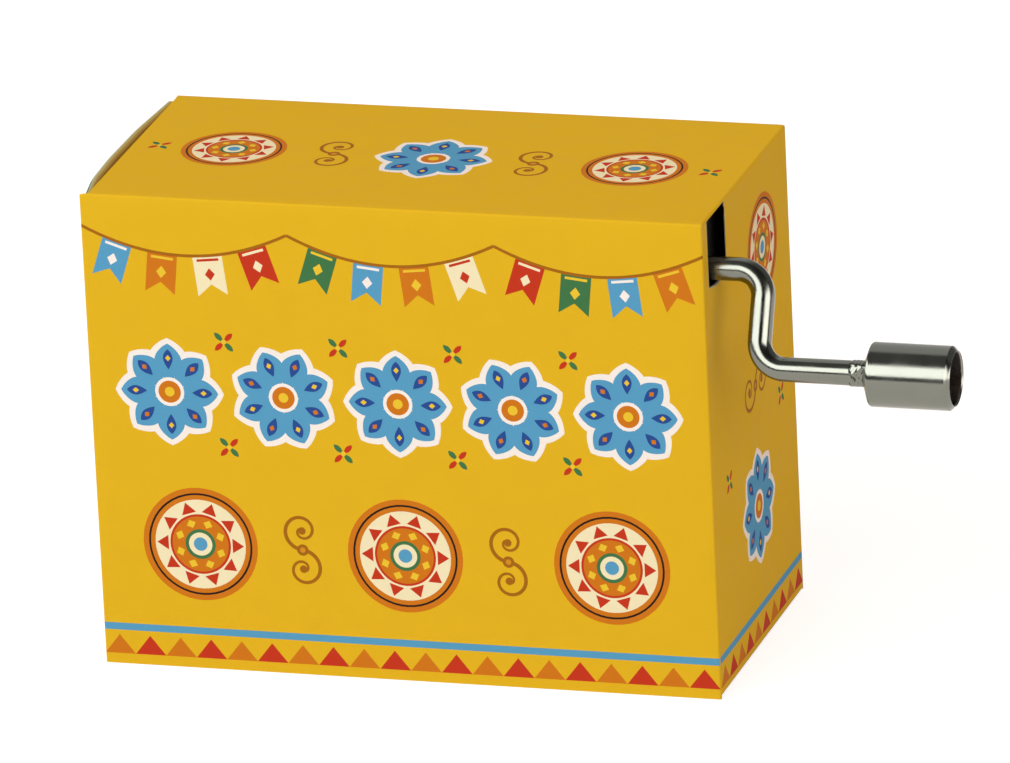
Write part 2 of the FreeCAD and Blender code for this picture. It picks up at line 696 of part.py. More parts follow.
def comb_weights():
    """Weights that tune the long teeth low, each smaller than the last."""
    width = TOOTH_PITCH - TOOTH_GAP
    return under_long_teeth(
        WEIGHT_FROM_TIP, WEIGHT_LENGTH, width, lambda track: WEIGHT_HEIGHT - track * WEIGHT_STEP
    )


def comb_dampers():
    """Thin bristles between the weights and the tips."""
    from_tip = WEIGHT_FROM_TIP - DAMPER_LENGTH
    return under_long_teeth(from_tip, DAMPER_LENGTH, DAMPER_WIDTH, lambda track: DAMPER_THICKNESS)


def carton_screw_places():
    """The (X, Z) places of the screws through the back panel."""
    xs = (BASE_LEFT + BOSS_INSET, BASE_RIGHT - BOSS_INSET)
    zs = (BASE_LOW + BOSS_INSET, BASE_HIGH - BOSS_INSET)
    return [(x, z) for x in xs for z in zs]


def housing_screw_places():
    """The (X, Z) places of the screws that hold the housing on the base plate."""
    right = (CYLINDER_X + GEAR_TIP + HOUSING_IN_RIGHT) / 2
    left = HOUSING_LEFT - HOUSING_EAR / 2
    return [(left, HOUSING_SCREW_Z), (right, HOUSING_SCREW_Z)]


def base_plate():
    """Tray open to the back, with screw bosses, comb seat and the arbor's lower lug."""
    x = (BASE_LEFT, BASE_RIGHT)
    z = (BASE_LOW, BASE_HIGH)
    tray = rounded_box(x, (BASE_TOP, INNER_BACK - BASE_RIM_GAP), z, Y_AXIS, BASE_CORNER)
    inside_x = (BASE_LEFT + BASE_RIM, BASE_RIGHT - BASE_RIM)
    inside_z = (BASE_LOW + BASE_RIM, BASE_HIGH - BASE_RIM)
    corner = max(BASE_CORNER - BASE_RIM, LEAST_RADIUS)
    hollow = rounded_box(inside_x, (BASE_UNDER, INNER_BACK + PAST), inside_z, Y_AXIS, corner)
    solid = tray.cut(hollow)
    for bx, bz in carton_screw_places():
        start = Vector(bx, BASE_MIDDLE, bz)
        solid = solid.fuse(rod(start, Y_AXIS, BOSS_DIAMETER, INNER_BACK - BASE_MIDDLE))
    seat = box(
        (COMB_LEFT - SEAT_MARGIN, COMB_ROOT_X - SEAT_MARGIN),
        (COMB_SEAT, BASE_MIDDLE),
        (COMB_Z - COMB_HALF - SEAT_MARGIN, COMB_Z + COMB_HALF + SEAT_MARGIN),
    )
    lug = box(
        (CYLINDER_X - LUG_WIDTH / 2, CYLINDER_X + LUG_WIDTH / 2),
        (CYLINDER_Y - LUG_ABOVE_ARBOR, BASE_MIDDLE),
        (LUG_TOP - LUG_THICKNESS, LUG_TOP),
    )
    solid = solid.fuse([seat, lug]).removeSplitter()
    return solid.cut(base_holes())


def base_holes():
    """The base plate's arbor bore and screw holes, as one tool."""
    start = Vector(CYLINDER_X, CYLINDER_Y, LUG_TOP - LUG_THICKNESS - PAST)
    arbor_hole = ARBOR_DIAMETER + 2 * RUNNING_GAP
    holes = [rod(start, Z_AXIS, arbor_hole, LUG_THICKNESS + 2 * PAST)]
    for x, z in carton_screw_places():
        start = Vector(x, BACK - CARTON_SCREW_LENGTH, z)
        holes.append(rod(start, Y_AXIS, CARTON_SCREW + 2 * THREAD_GAP, CARTON_SCREW_LENGTH))
    for x, z in comb_screw_places():
        start = Vector(x, COMB_SEAT - PAST, z)
        length = PAST + COMB_SCREW_IN_SEAT
        holes.append(rod(start, Y_AXIS, COMB_SCREW + 2 * THREAD_GAP, length))
    for x, z in housing_screw_places():
        start = Vector(x, BASE_TOP - PAST, z)
        length = BASE_PLATE + 2 * PAST
        holes.append(rod(start, Y_AXIS, HOUSING_SCREW + 2 * THREAD_GAP, length))
    return Part.makeCompound(holes)


def crank_housing():
    """Black moulding with two shaft walls, a top web, a floor and a screw ear."""
    depth = (HOUSING_FRONT, BASE_TOP)
    height = (HOUSING_LOW, HOUSING_TOP)
    right = box((HOUSING_IN_RIGHT, HOUSING_RIGHT), depth, height)
    left = box((HOUSING_LEFT, HOUSING_IN_LEFT), depth, height)
    web = box((HOUSING_LEFT, HOUSING_RIGHT), depth, (HOUSING_TOP - HOUSING_WEB, HOUSING_TOP))
    floor_x = (HOUSING_LEFT - HOUSING_EAR, HOUSING_RIGHT)
    floor = box(floor_x, (HOUSING_FLOOR_FRONT, BASE_TOP), height)
    boss_start = Vector(CYLINDER_X, CYLINDER_Y, BEARING_BOTTOM)
    boss = rod(boss_start, Z_AXIS, ARBOR_BOSS_DIAMETER, HOUSING_TOP - BEARING_BOTTOM)
    solid = right.fuse([left, web, floor, boss]).removeSplitter()
    blind = HOUSING_TOP - ARBOR_BLIND - BEARING_BOTTOM
    holes = [rod(boss_start, Z_AXIS, ARBOR_DIAMETER + 2 * RUNNING_GAP, blind)]
    for low, length in bush_spans():
        start = Vector(low, CRANK_Y, CRANK_Z)
        holes.append(rod(start, X_AXIS, BUSH_DIAMETER + 2 * SEAT_GAP, length))
    through = Vector(HOUSING_LEFT - PAST, CRANK_Y, CRANK_Z)
    clear = ROD_DIAMETER + 2 * SCREW_HOLE_GAP
    length = HOUSING_RIGHT - HOUSING_LEFT + 2 * PAST
    holes.append(rod(through, X_AXIS, clear, length))
    for x, z in housing_screw_places():
        start = Vector(x, HOUSING_FLOOR_FRONT - PAST, z)
        length = HOUSING_FLOOR + 2 * PAST
        holes.append(rod(start, Y_AXIS, HOUSING_SCREW + 2 * SCREW_HOLE_GAP, length))
    return solid.cut(holes)


def bush_spans():
    """Where each crank bush starts along X, and its length."""
    right_length = HOUSING_RIGHT_WALL - BUSH_COVER
    return [(HOUSING_IN_RIGHT, right_length), (HOUSING_LEFT, HOUSING_LEFT_WALL)]


def crank_bushes():
    """Two plain bushes that the shaft runs in."""
    bore = ROD_DIAMETER + 2 * RUNNING_GAP
    bushes = []
    for low, length in bush_spans():
        start = Vector(low, CRANK_Y, CRANK_Z)
        bushes.append(ring(start, X_AXIS, BUSH_DIAMETER, bore, length))
    return Part.makeCompound(bushes)


def slotted_screw(x, z, face, way, sizes, cross):
    """A round-headed screw along Y whose head bears on a face; way is where it goes in."""
    diameter, head, head_height, length = sizes
    into = Vector(0, way, 0)
    seat = Vector(x, face, z)
    shank = rod(seat, into, diameter, length)
    top = rod(seat, into.negative(), head, head_height)
    rims = [e for e in top.Edges if len(e.Vertexes) == 1 and abs(e.BoundBox.YMin - face) > head_height / 2]
    top = top.makeFillet(head_height / 2, rims)
    outside = face - way * head_height
    depth = min(SLOT_DEPTH, SLOT_DEPTH_SHARE * head_height)
    y = sorted((outside - way * PAST, outside + way * depth))
    slots = [box((x - head, x + head), y, (z - SLOT_WIDTH / 2, z + SLOT_WIDTH / 2))]
    if cross:
        reach = CROSS_REACH_SHARE * head
        slots = [
            box((x - reach, x + reach), y, (z - SLOT_WIDTH / 2, z + SLOT_WIDTH / 2)),
            box((x - SLOT_WIDTH / 2, x + SLOT_WIDTH / 2), y, (z - reach, z + reach)),
        ]
    return shank.fuse(top).removeSplitter().cut(slots)


def carton_screws():
    """Cross-headed screws through washers and the back panel into the base plate."""
    face = BACK + CARTON_WASHER_THICKNESS
    length = CARTON_SCREW_LENGTH + CARTON_WASHER_THICKNESS - THREAD_GAP
    sizes = (CARTON_SCREW, CARTON_SCREW_HEAD, CARTON_SCREW_HEAD_HEIGHT, length)
    places = carton_screw_places()
    return Part.makeCompound([slotted_screw(x, z, face, -1, sizes, True) for x, z in places])


def carton_washers():
    """Washers that spread the carton screws' heads on the board."""
    bore = CARTON_SCREW + 2 * SCREW_HOLE_GAP
    rings = []
    for x, z in carton_screw_places():
        start = Vector(x, BACK, z)
        rings.append(ring(start, Y_AXIS, CARTON_WASHER, bore, CARTON_WASHER_THICKNESS))
    return Part.makeCompound(rings)


def comb_screws():
    """Slotted screws that hold the comb on its seat."""
    face = COMB_FRONT - COMB_WASHER_THICKNESS
    length = COMB_SCREW_IN_SEAT + COMB_THICKNESS + COMB_WASHER_THICKNESS - THREAD_GAP
    sizes = (COMB_SCREW, COMB_SCREW_HEAD, COMB_SCREW_HEAD_HEIGHT, length)
    places = comb_screw_places()
    return Part.makeCompound([slotted_screw(x, z, face, 1, sizes, False) for x, z in places])


def comb_washers():
    """Washers under the comb screws."""
    bore = COMB_SCREW + 2 * SCREW_HOLE_GAP
    rings = []
    for x, z in comb_screw_places():
        start = Vector(x, COMB_FRONT - COMB_WASHER_THICKNESS, z)
        rings.append(ring(start, Y_AXIS, COMB_WASHER, bore, COMB_WASHER_THICKNESS))
    return Part.makeCompound(rings)


def housing_screws():
    """Cross-headed screws that hold the housing on the base plate."""
    length = HOUSING_FLOOR + BASE_PLATE
    sizes = (HOUSING_SCREW, HOUSING_SCREW_HEAD, HOUSING_SCREW_HEAD_HEIGHT, length)
    face = HOUSING_FLOOR_FRONT
    places = housing_screw_places()
    return Part.makeCompound([slotted_screw(x, z, face, 1, sizes, True) for x, z in places])


def pieces():
    """Every piece of the music box, by node name."""
    nodes = {
        "sleeve": sleeve(),
        "glue_flap": glue_flap(),
        "right_end_panel": right_end_panel(),
        "right_tuck_flap": tuck_flap(TUCK_IN - BOARD),
        "left_end_panel": left_end_panel(),
        "left_tuck_flap": mirrored_in_x(tuck_flap(CARTON_HEIGHT - TUCK_IN)),
        "crank_rod": crank_rod(),
        "knob": knob(),
        "shaft_clips": shaft_clips(),
        "worm": worm(),
        "cylinder_gear": cylinder_gear(),
        "cylinder_drum": cylinder_drum(),
        "drum_lower_cap": drum_lower_cap(),
        "drum_upper_cap": drum_upper_cap(),
        "cylinder_arbor": cylinder_arbor(),
        "cylinder_pins": cylinder_pins(),
        "comb": comb(),
        "comb_weights": comb_weights(),
        "comb_dampers": comb_dampers(),
        "comb_screws": comb_screws(),
        "comb_washers": comb_washers(),
        "base_plate": base_plate(),
        "crank_housing": crank_housing(),
        "crank_bushes": crank_bushes(),
        "housing_screws": housing_screws(),
        "carton_screws": carton_screws(),
        "carton_washers": carton_washers(),
    }
    nodes.update(dust_flaps())
    return nodes


os.makedirs("parts", exist_ok=True)
for name, shape in pieces().items():
    shape.exportStep("parts/" + name + ".step")
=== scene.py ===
"""Looks of a hand-cranked music box: a printed folding carton with a plated crank and a comb movement.

Lengths are millimetres in the classes and metres in Blender. The carton stands on Z = 0, its front faces -Y
and the crank leaves its right end, at +X.
"""

import logging
import math
from collections.abc import Callable
from dataclasses import dataclass, field
from enum import Enum
from typing import ClassVar

import bpy
import numpy as np
from mathutils import Matrix, Vector
from mathutils.geometry import delaunay_2d_cdt


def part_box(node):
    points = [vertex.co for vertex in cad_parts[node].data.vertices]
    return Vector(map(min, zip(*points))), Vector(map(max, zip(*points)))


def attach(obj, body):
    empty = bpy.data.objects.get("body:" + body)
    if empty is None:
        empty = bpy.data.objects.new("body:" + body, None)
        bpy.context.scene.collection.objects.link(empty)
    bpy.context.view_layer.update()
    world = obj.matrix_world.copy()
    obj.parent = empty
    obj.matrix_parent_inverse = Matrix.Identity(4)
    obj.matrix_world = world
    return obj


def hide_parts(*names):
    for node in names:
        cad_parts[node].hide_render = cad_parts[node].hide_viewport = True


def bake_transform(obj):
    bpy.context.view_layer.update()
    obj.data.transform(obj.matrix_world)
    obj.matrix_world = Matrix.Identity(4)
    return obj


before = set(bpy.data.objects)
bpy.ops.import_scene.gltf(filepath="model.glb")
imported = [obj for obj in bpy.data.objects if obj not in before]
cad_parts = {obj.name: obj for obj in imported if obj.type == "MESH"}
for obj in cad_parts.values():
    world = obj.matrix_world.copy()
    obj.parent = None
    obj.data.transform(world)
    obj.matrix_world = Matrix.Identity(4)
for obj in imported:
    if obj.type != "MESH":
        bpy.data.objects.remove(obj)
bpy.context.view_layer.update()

MM = 0.001
QUARTER_TURN = math.pi / 2
FULL_TURN = 2 * math.pi
CARTON_BODY = "carton_and_movement"
INK_ATTRIBUTE = "ink"
SHARP_EDGE = math.radians(32)
WHITE_LIGHT = (1.0, 1.0, 1.0, 1.0)
X_WAY = np.array([1.0, 0.0, 0.0])
Y_WAY = np.array([0.0, 1.0, 0.0])
Z_WAY = np.array([0.0, 0.0, 1.0])

Pair = tuple[float, float]
Triple = tuple[float, float, float]
Outline = np.ndarray
Tree = bpy.types.NodeTree
Socket = bpy.types.NodeSocket
Piece = bpy.types.Object

log = logging.getLogger("music_box")


def linear(colour: str) -> tuple[float, float, float, float]:
    """Turns an sRGB hex colour into the linear one that Blender works in.

    Args:
        colour: The colour as "#RRGGBB".

    Returns:
        Red, green, blue and an alpha of 1.
    """
    parts = np.array([int(colour[i : i + 2], 16) for i in (1, 3, 5)]) / 255
    flat = np.where(parts <= 0.04045, parts / 12.92, ((parts + 0.055) / 1.055) ** 2.4)
    return (*(float(value) for value in flat), 1.0)


def box_mm(node: str) -> tuple[np.ndarray, np.ndarray]:
    """Gives the lowest and the highest corner of a node of the model, in millimetres.

    Args:
        node: The node's name.

    Returns:
        Two points.
    """
    low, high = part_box(node)
    return np.array(low) / MM, np.array(high) / MM


class Ink(Enum):
    """The carton's printing inks on coated board, the tone of board that is cracked or worn, and tones of
    painted shade for the left fold.
    """

    YELLOW = "#E2BA25"
    ORANGE = "#CF7B20"
    BLUE = "#58A3CE"
    NAVY = "#2C5199"
    WHITE = "#F7F6F1"
    CREAM = "#F3EEC6"
    RED = "#C43B23"
    GREEN = "#427A4C"
    LEMON = "#EBCB38"
    BROWN = "#A56A1C"
    TAN = "#D5962A"
    BLACK = "#24201D"
    CRACKED = "#B7C09C"
    # Painted shade on the left fold: a dark teal line, then pale, tan and deep brown tones into the flap.
    SHADE_TEAL = "#56756D"
    SHADED = "#B0914A"
    HALF_SHADE = "#BCB06C"
    DEEP_SHADE = "#8F6A22"


Print = tuple[Ink, Outline]
Rings = tuple[tuple[Ink, float, int], ...]


def round_angles(sides: int) -> np.ndarray:
    """Gives evenly spaced angles all round, from 0."""
    return np.arange(sides) * FULL_TURN / sides


def bell(away: np.ndarray, width: np.ndarray | float) -> np.ndarray:
    """Gives a bell curve: e to minus the square of the way from its middle over its width."""
    return np.exp(-((away / width) ** 2))


def point_at(centre: Pair, distance: float, angle: float) -> Pair:
    """Gives the point that lies a distance from a centre, in the direction of an angle."""
    return (centre[0] + distance * math.cos(angle), centre[1] + distance * math.sin(angle))


def disc(centre: Pair, radius: float, sides: int = 48) -> Outline:
    """Draws a round: the centre plus the radius times the cosine and sine of an angle.

    Args:
        centre: The middle.
        radius: The radius.
        sides: How many points the outline has.

    Returns:
        The outline's points.
    """
    angle = round_angles(sides)
    return np.array(centre) + radius * np.stack([np.cos(angle), np.sin(angle)], 1)


def discs(centre: Pair, radius: float, rings: Rings) -> list[Print]:
    """Draws rounds on one centre: each ring has its ink, its share of the radius and its number of sides."""
    return [(ink, disc(centre, share * radius, sides)) for ink, share, sides in rings]


def polygon(centre: Pair, points: list[Pair], turn: float = 0.0) -> Outline:
    """Draws a figure of straight edges, turned about the origin and then moved to its centre.

    Args:
        centre: Where the figure's own origin goes.
        points: The corners about the figure's own origin.
        turn: The turn in radians.

    Returns:
        The outline's points.
    """
    c, s = math.cos(turn), math.sin(turn)
    return np.array(points) @ np.array([[c, s], [-s, c]]) + np.array(centre)


def diamond(centre: Pair, width: float, height: float, turn: float = 0.0) -> Outline:
    """Draws a diamond from its two diagonals."""
    w, h = width / 2, height / 2
    return polygon(centre, [(w, 0), (0, h), (-w, 0), (0, -h)], turn)


def petal(centre: Pair, length: float, width: float, turn: float, sides: int = 20) -> Outline:
    """Draws a leaf: its half width is the sine of pi times the way to the power 1.2, raised to 0.8.

    Args:
        centre: The leaf's root.
        length: How far it reaches from the root.
        width: Its widest.
        turn: The angle that it points to, in radians.
        sides: How many points each side has.

    Returns:
        The outline's points.
    """
    way = np.linspace(0, 1, sides)
    half = width / 2 * np.sin(math.pi * way**1.2) ** 0.8
    right = np.stack([length * way, -half], 1)
    left = np.stack([length * way, half], 1)[::-1]
    return polygon(centre, np.concatenate([right, left[1:-1]]).tolist(), turn)


def stroke(path: np.ndarray, width: np.ndarray | float) -> Outline:
    """Draws a line of some width: its path moved half the width to each side of its own way.

    Args:
        path: The line's points.
        width: The width, or one for each point.

    Returns:
        The outline's points.
    """
    way = np.gradient(path, axis=0)
    way /= np.linalg.norm(way, axis=1, keepdims=True)
    aside = np.stack([-way[:, 1], way[:, 0]], 1) * np.broadcast_to(width, len(path))[:, None] / 2
    return np.concatenate([path - aside, (path + aside)[::-1]])


def spiral_path(centre: Pair, radii: Pair, angles: Pair, points_per_radian: int = 8) -> np.ndarray:
    """Follows a spiral: the radius and the angle both change evenly from their first to their last value.

    Args:
        centre: The middle.
        radii: The first and the last radius.
        angles: The first and the last angle, in radians.
        points_per_radian: How close its points lie.

    Returns:
        The path's points.
    """
    count = max(points_per_radian, int(abs(angles[1] - angles[0]) * points_per_radian))
    share = np.linspace(0, 1, count)
    radius = radii[0] + (radii[1] - radii[0]) * share
    angle = angles[0] + (angles[1] - angles[0]) * share
    return np.array(centre) + np.stack([radius * np.cos(angle), radius * np.sin(angle)], 1)


def rectangle(low: Pair, high: Pair) -> Outline:
    """Draws an upright rectangle from its lowest to its highest corner."""
    return np.array([low, (high[0], low[1]), high, (low[0], high[1])], float)


@dataclass
class Artwork:
    """The generic festive pattern of the carton: flowers, medallions, pennants, scrolls and zigzags.

    Every method gives prints in the order in which they lie on each other, in a panel's own two directions.
    Each figure's parts are shares of its radius or width.
    """

    line: float = 0.3
    outline: float = 0.55
    string_points: int = 25
    border_gap: float = 0.45
    border_line: float = 0.7
    medallion_rim: ClassVar[Rings] = (
        (Ink.ORANGE, 1.0, 48),
        (Ink.BLACK, 0.905, 48),
        (Ink.ORANGE, 0.87, 48),
        (Ink.CREAM, 0.79, 48),
    )
    medallion_field: ClassVar[Rings] = ((Ink.RED, 0.53, 48), (Ink.ORANGE, 0.49, 48))
    medallion_eye: ClassVar[Rings] = ((Ink.GREEN, 0.265, 32), (Ink.CREAM, 0.205, 32), (Ink.BLUE, 0.12, 24))
    flower_heart: ClassVar[Rings] = ((Ink.WHITE, 0.3, 32), (Ink.ORANGE, 0.23, 32), (Ink.LEMON, 0.1, 20))
    scroll_heart: ClassVar[Rings] = ((Ink.BROWN, 0.3, 24), (Ink.TAN, 0.14, 20))

    def medallion(self, centre: Pair, radius: float, turn: float = 0.0) -> list[Print]:
        """Draws a striped round: orange, cream with red triangles, orange with lemon diamonds, a blue eye.

        Args:
            centre: The middle.
            radius: The outer radius.
            turn: The turn of what repeats, in radians.

        Returns:
            The prints.
        """
        teeth, tooth_at, tooth, tooth_half = 10, 0.66 * radius, 0.1 * radius, 0.13 * radius
        prints = discs(centre, radius, self.medallion_rim)
        for k in range(teeth):
            angle = turn + FULL_TURN * k / teeth
            corners = [(tooth, 0.0), (-tooth, tooth_half), (-tooth, -tooth_half)]
            prints.append((Ink.RED, polygon(point_at(centre, tooth_at, angle), corners, angle)))
        prints += discs(centre, radius, self.medallion_field)
        gems, gem_at, gem_length, gem_width = 8, 0.38 * radius, 0.15 * radius, 0.17 * radius
        for k in range(gems):
            angle = turn + FULL_TURN * (k + 0.5) / gems
            prints.append((Ink.LEMON, diamond(point_at(centre, gem_at, angle), gem_length, gem_width, angle)))
        return prints + discs(centre, radius, self.medallion_eye)

    def flower(self, centre: Pair, radius: float, turn: float = 0.0) -> list[Print]:
        """Draws a flower of eight blue petals edged in white, with patterned petals and a round heart.

        Args:
            centre: The middle.
            radius: The reach of the petals without their white edge.
            turn: The turn in radians.

        Returns:
            The prints.
        """
        count = 8
        root = 0.16 * radius
        length, width = radius - root, 0.56 * radius
        rim_length, rim_width = length + self.outline, width + 2 * self.outline
        vein_at, vein_length, vein_width = 0.36 * length, 0.5 * length, 0.2 * radius
        spot_at, spot_length, spot_width = 0.64 * length, 0.13 * radius, 0.11 * radius
        ground = 0.45 * radius
        angles = [turn + FULL_TURN * k / count for k in range(count)]
        petals = [(angle, point_at(centre, root, angle)) for angle in angles]
        prints = [(Ink.WHITE, disc(centre, ground))]
        prints += [(Ink.WHITE, petal(start, rim_length, rim_width, angle)) for angle, start in petals]
        prints += [(Ink.BLUE, petal(start, length, width, angle)) for angle, start in petals]
        for k, (angle, start) in enumerate(petals):
            vein = petal(point_at(start, vein_at, angle), vein_length, vein_width, angle, 10)
            prints.append((Ink.NAVY, vein))
            spot = diamond(point_at(start, spot_at, angle), spot_length, spot_width, angle)
            prints.append(((Ink.LEMON, Ink.ORANGE)[k % 2], spot))
        return prints + discs(centre, radius, self.flower_heart)

    def scroll(self, centre: Pair, radius: float, turn: float = 0.0) -> list[Print]:
        """Draws two brown spirals back to back, each a line that thins towards its middle.

        Args:
            centre: The point where the spirals meet.
            radius: The reach of each spiral.
            turn: The turn in radians.

        Returns:
            The prints.
        """
        inner, eye_size, winding = 0.16 * radius, 0.2 * radius, 1.7 * math.pi
        thick, thin = 1.3, 0.7
        prints = []
        for way in (turn, turn + math.pi):
            eye = point_at(centre, radius, way)
            path = spiral_path(eye, (radius, inner), (way + math.pi, way - winding))
            width = np.linspace(thick, thin, len(path)) * self.line
            prints.append((Ink.BROWN, stroke(path, width)))
            prints.append((Ink.BROWN, disc(eye, eye_size, 24)))
        return prints + discs(centre, radius, self.scroll_heart)

    def garland(self, start: float, swag: float, count: int, high: float, sag: float) -> list[Print]:
        """Draws a string that sags in parabolas, with pennants hung along it.

        Args:
            start: Where the first swag starts, along the panel.
            swag: The length of one swag.
            count: How many swags there are.
            high: The height of the points that hold the string.
            sag: How far each swag sags.

        Returns:
            The prints.
        """
        inks = (
            (Ink.BLUE, Ink.WHITE),
            (Ink.ORANGE, Ink.LEMON),
            (Ink.CREAM, Ink.RED),
            (Ink.RED, Ink.CREAM),
            (Ink.GREEN, Ink.LEMON),
        )
        per_swag, margin = 4, 0.8
        width = 0.58 * swag / per_swag
        prints: list[Print] = []
        for k in range(count):
            left = start + k * swag
            for j in range(per_swag):
                at = (j + margin) / (per_swag - 1 + 2 * margin)
                place = (left + swag * at, high - 4 * sag * at * (1 - at))
                turn = math.atan2(-4 * sag * (1 - 2 * at), swag)
                ink, mark = inks[(k * per_swag + j) % len(inks)]
                prints += self.pennant(place, width, turn, ink, mark)
            share = np.linspace(0, 1, self.string_points)
            string = np.stack([left + swag * share, high - 4 * sag * share * (1 - share)], 1)
            prints.append((Ink.BROWN, stroke(string, self.line)))
        return prints

    def pennant(self, place: Pair, width: float, turn: float, ink: Ink, mark: Ink) -> list[Print]:
        """Draws a swallow-tailed pennant with a band and a diamond.

        Args:
            place: The middle of its upper edge, on the string.
            width: Its width.
            turn: Its turn in radians.
            ink: Its ink.
            mark: The ink of its band and its diamond.

        Returns:
            The prints.
        """
        hem, band_top, band_foot = 0.1, -0.3, -0.55
        half, tall, side = width / 2, 1.35 * width, width / 2 - 0.13 * width
        tails = [(-half, hem), (-half, -tall), (0, -0.72 * tall), (half, -tall), (half, hem)]
        band = [(-side, band_top), (-side, band_foot), (side, band_foot), (side, band_top)]
        drop = 0.47 * tall
        middle = (place[0] + drop * math.sin(turn), place[1] - drop * math.cos(turn))
        return [
            (ink, polygon(place, tails, turn)),
            (mark, polygon(place, band, turn)),
            (mark, diamond(middle, 0.34 * width, 0.42 * width, turn)),
        ]

    def zigzag(self, low: float, high: float, base: float, height: float, pitch: float) -> list[Print]:
        """Draws a border of triangles that stand on a line, with a blue line over them.

        Args:
            low: Where the border starts, along the panel.
            high: Where it ends.
            base: The height of its lower edge.
            height: How tall the triangles are.
            pitch: The wanted distance from one triangle to the next.

        Returns:
            The prints.
        """
        count = max(1, round((high - low) / pitch))
        step = (high - low) / count
        prints: list[Print] = []
        for k in range(count):
            left = low + k * step
            corners = [(left, base), (left + step, base), (left + step / 2, base + height)]
            prints.append(((Ink.ORANGE, Ink.RED)[k % 2], np.array(corners)))
        over = base + height + self.border_gap
        prints.append((Ink.BLUE, rectangle((low, over), (high, over + self.border_line))))
        return prints

    def sprig(self, centre: Pair, size: float, turn: float = 0.0) -> list[Print]:
        """Draws four small leaves round a dot, for the room between larger figures.

        Args:
            centre: The dot's middle.
            size: The reach of the leaves.
            turn: The turn in radians.

        Returns:
            The prints.
        """
        prints: list[Print] = []
        for k, ink in enumerate((Ink.RED, Ink.GREEN) * 2):
            angle = turn + math.pi / 4 + k * QUARTER_TURN
            prints.append((ink, petal(centre, size, 0.42 * size, angle, 10)))
        prints.append((Ink.LEMON, disc(centre, 0.2 * size, 16)))
        return prints


@dataclass(frozen=True)
class Motif:
    """One figure on a panel: the method that draws it, where its middle lies, its size and its turn."""

    draw: Callable[..., list[Print]]
    place: Pair
    size: float
    turn: float = 0.0


@dataclass(frozen=True)
class Row:
    """A row of equal figures along a wide panel: its height, the way from one to the next, their radius."""

    height: float
    pitch: float
    radius: float

    def places(self, count: int, middle: float) -> list[Pair]:
        """Gives the middles of the figures of a row that is centred on a place along the panel."""
        return [(middle + (k - (count - 1) / 2) * self.pitch, self.height) for k in range(count)]


def make_piece(
    name: str,
    points: np.ndarray,
    faces: list[np.ndarray],
    materials: list[bpy.types.Material],
    slots: np.ndarray | None = None,
    inks: np.ndarray | None = None,
) -> Piece:
    """Puts a shape worked out in millimetres into a mesh at the origin.

    Args:
        name: The piece's name.
        points: The corners in millimetres, one row each.
        faces: Arrays of faces, each with as many corners as it has columns.
        materials: The materials of the piece's slots.
        slots: The material slot of each face, or None for the first one.
        inks: The linear colour of each face, or None.

    Returns:
        The piece.
    """
    mesh = bpy.data.meshes.new(name)
    mesh.from_pydata((points * MM).tolist(), [], [face for part in faces for face in part.tolist()])
    for material in materials:
        mesh.materials.append(material)
    if slots is not None:
        mesh.polygons.foreach_set("material_index", slots.astype(np.int32))
    if inks is not None:
        sides = np.concatenate([np.full(len(part), part.shape[1]) for part in faces if len(part)])
        colours = mesh.color_attributes.new(INK_ATTRIBUTE, "FLOAT_COLOR", "CORNER")
        colours.data.foreach_set("color", np.repeat(inks, sides, axis=0).astype(np.float32).ravel())
    mesh.shade_smooth()
    mesh.set_sharp_from_angle(angle=SHARP_EDGE)
    mesh.update()
    piece = bpy.data.objects.new(name, mesh)
    bpy.context.scene.collection.objects.link(piece)
    log.info("%s: %d faces", name, len(mesh.polygons))
    return piece


def cleared(owner: bpy.types.Material | bpy.types.World) -> Tree:
    """Turns on the nodes of a material or of the surroundings and takes out those it starts with.

    Args:
        owner: The material or the surroundings.

    Returns:
        Its empty node tree.
    """
    owner.use_nodes = True
    owner.node_tree.nodes.clear()
    return owner.node_tree


def add(tree: Tree, kind: str, inputs: dict | None = None, **settings: object) -> bpy.types.Node:
    """Adds a node with its settings and its inputs.

    Args:
        tree: The node tree.
        kind: The node's type name.
        inputs: A value or another node's output for each input, by name or number.
        **settings: The node's own settings.

    Returns:
        The node.
    """
    node = tree.nodes.new(kind)
    for name, value in settings.items():
        setattr(node, name, value)
    for name, value in (inputs or {}).items():
        if isinstance(value, bpy.types.NodeSocket):
            tree.links.new(value, node.inputs[name])
        else:
            node.inputs[name].default_value = value
    return node


def worked_out(tree: Tree, operation: str, *values: Socket | float) -> Socket:
    """Adds a node that works out one operation on its values, and gives the result."""
    return add(tree, "ShaderNodeMath", dict(enumerate(values)), operation=operation).outputs[0]


def ranged(tree: Tree, value: Socket, source: Pair, target: Pair = (0.0, 1.0), **settings: object) -> Socket:
    """Adds a node that maps one range of a value onto another and stops at its ends.

    Args:
        tree: The node tree.
        value: The value.
        source: The range that it comes from.
        target: The range that it goes to.
        **settings: The node's own settings.

    Returns:
        The mapped value.
    """
    inputs = {"Value": value, "From Min": source[0], "From Max": source[1]}
    inputs |= {"To Min": target[0], "To Max": target[1]}
    return add(tree, "ShaderNodeMapRange", inputs, **settings).outputs[0]


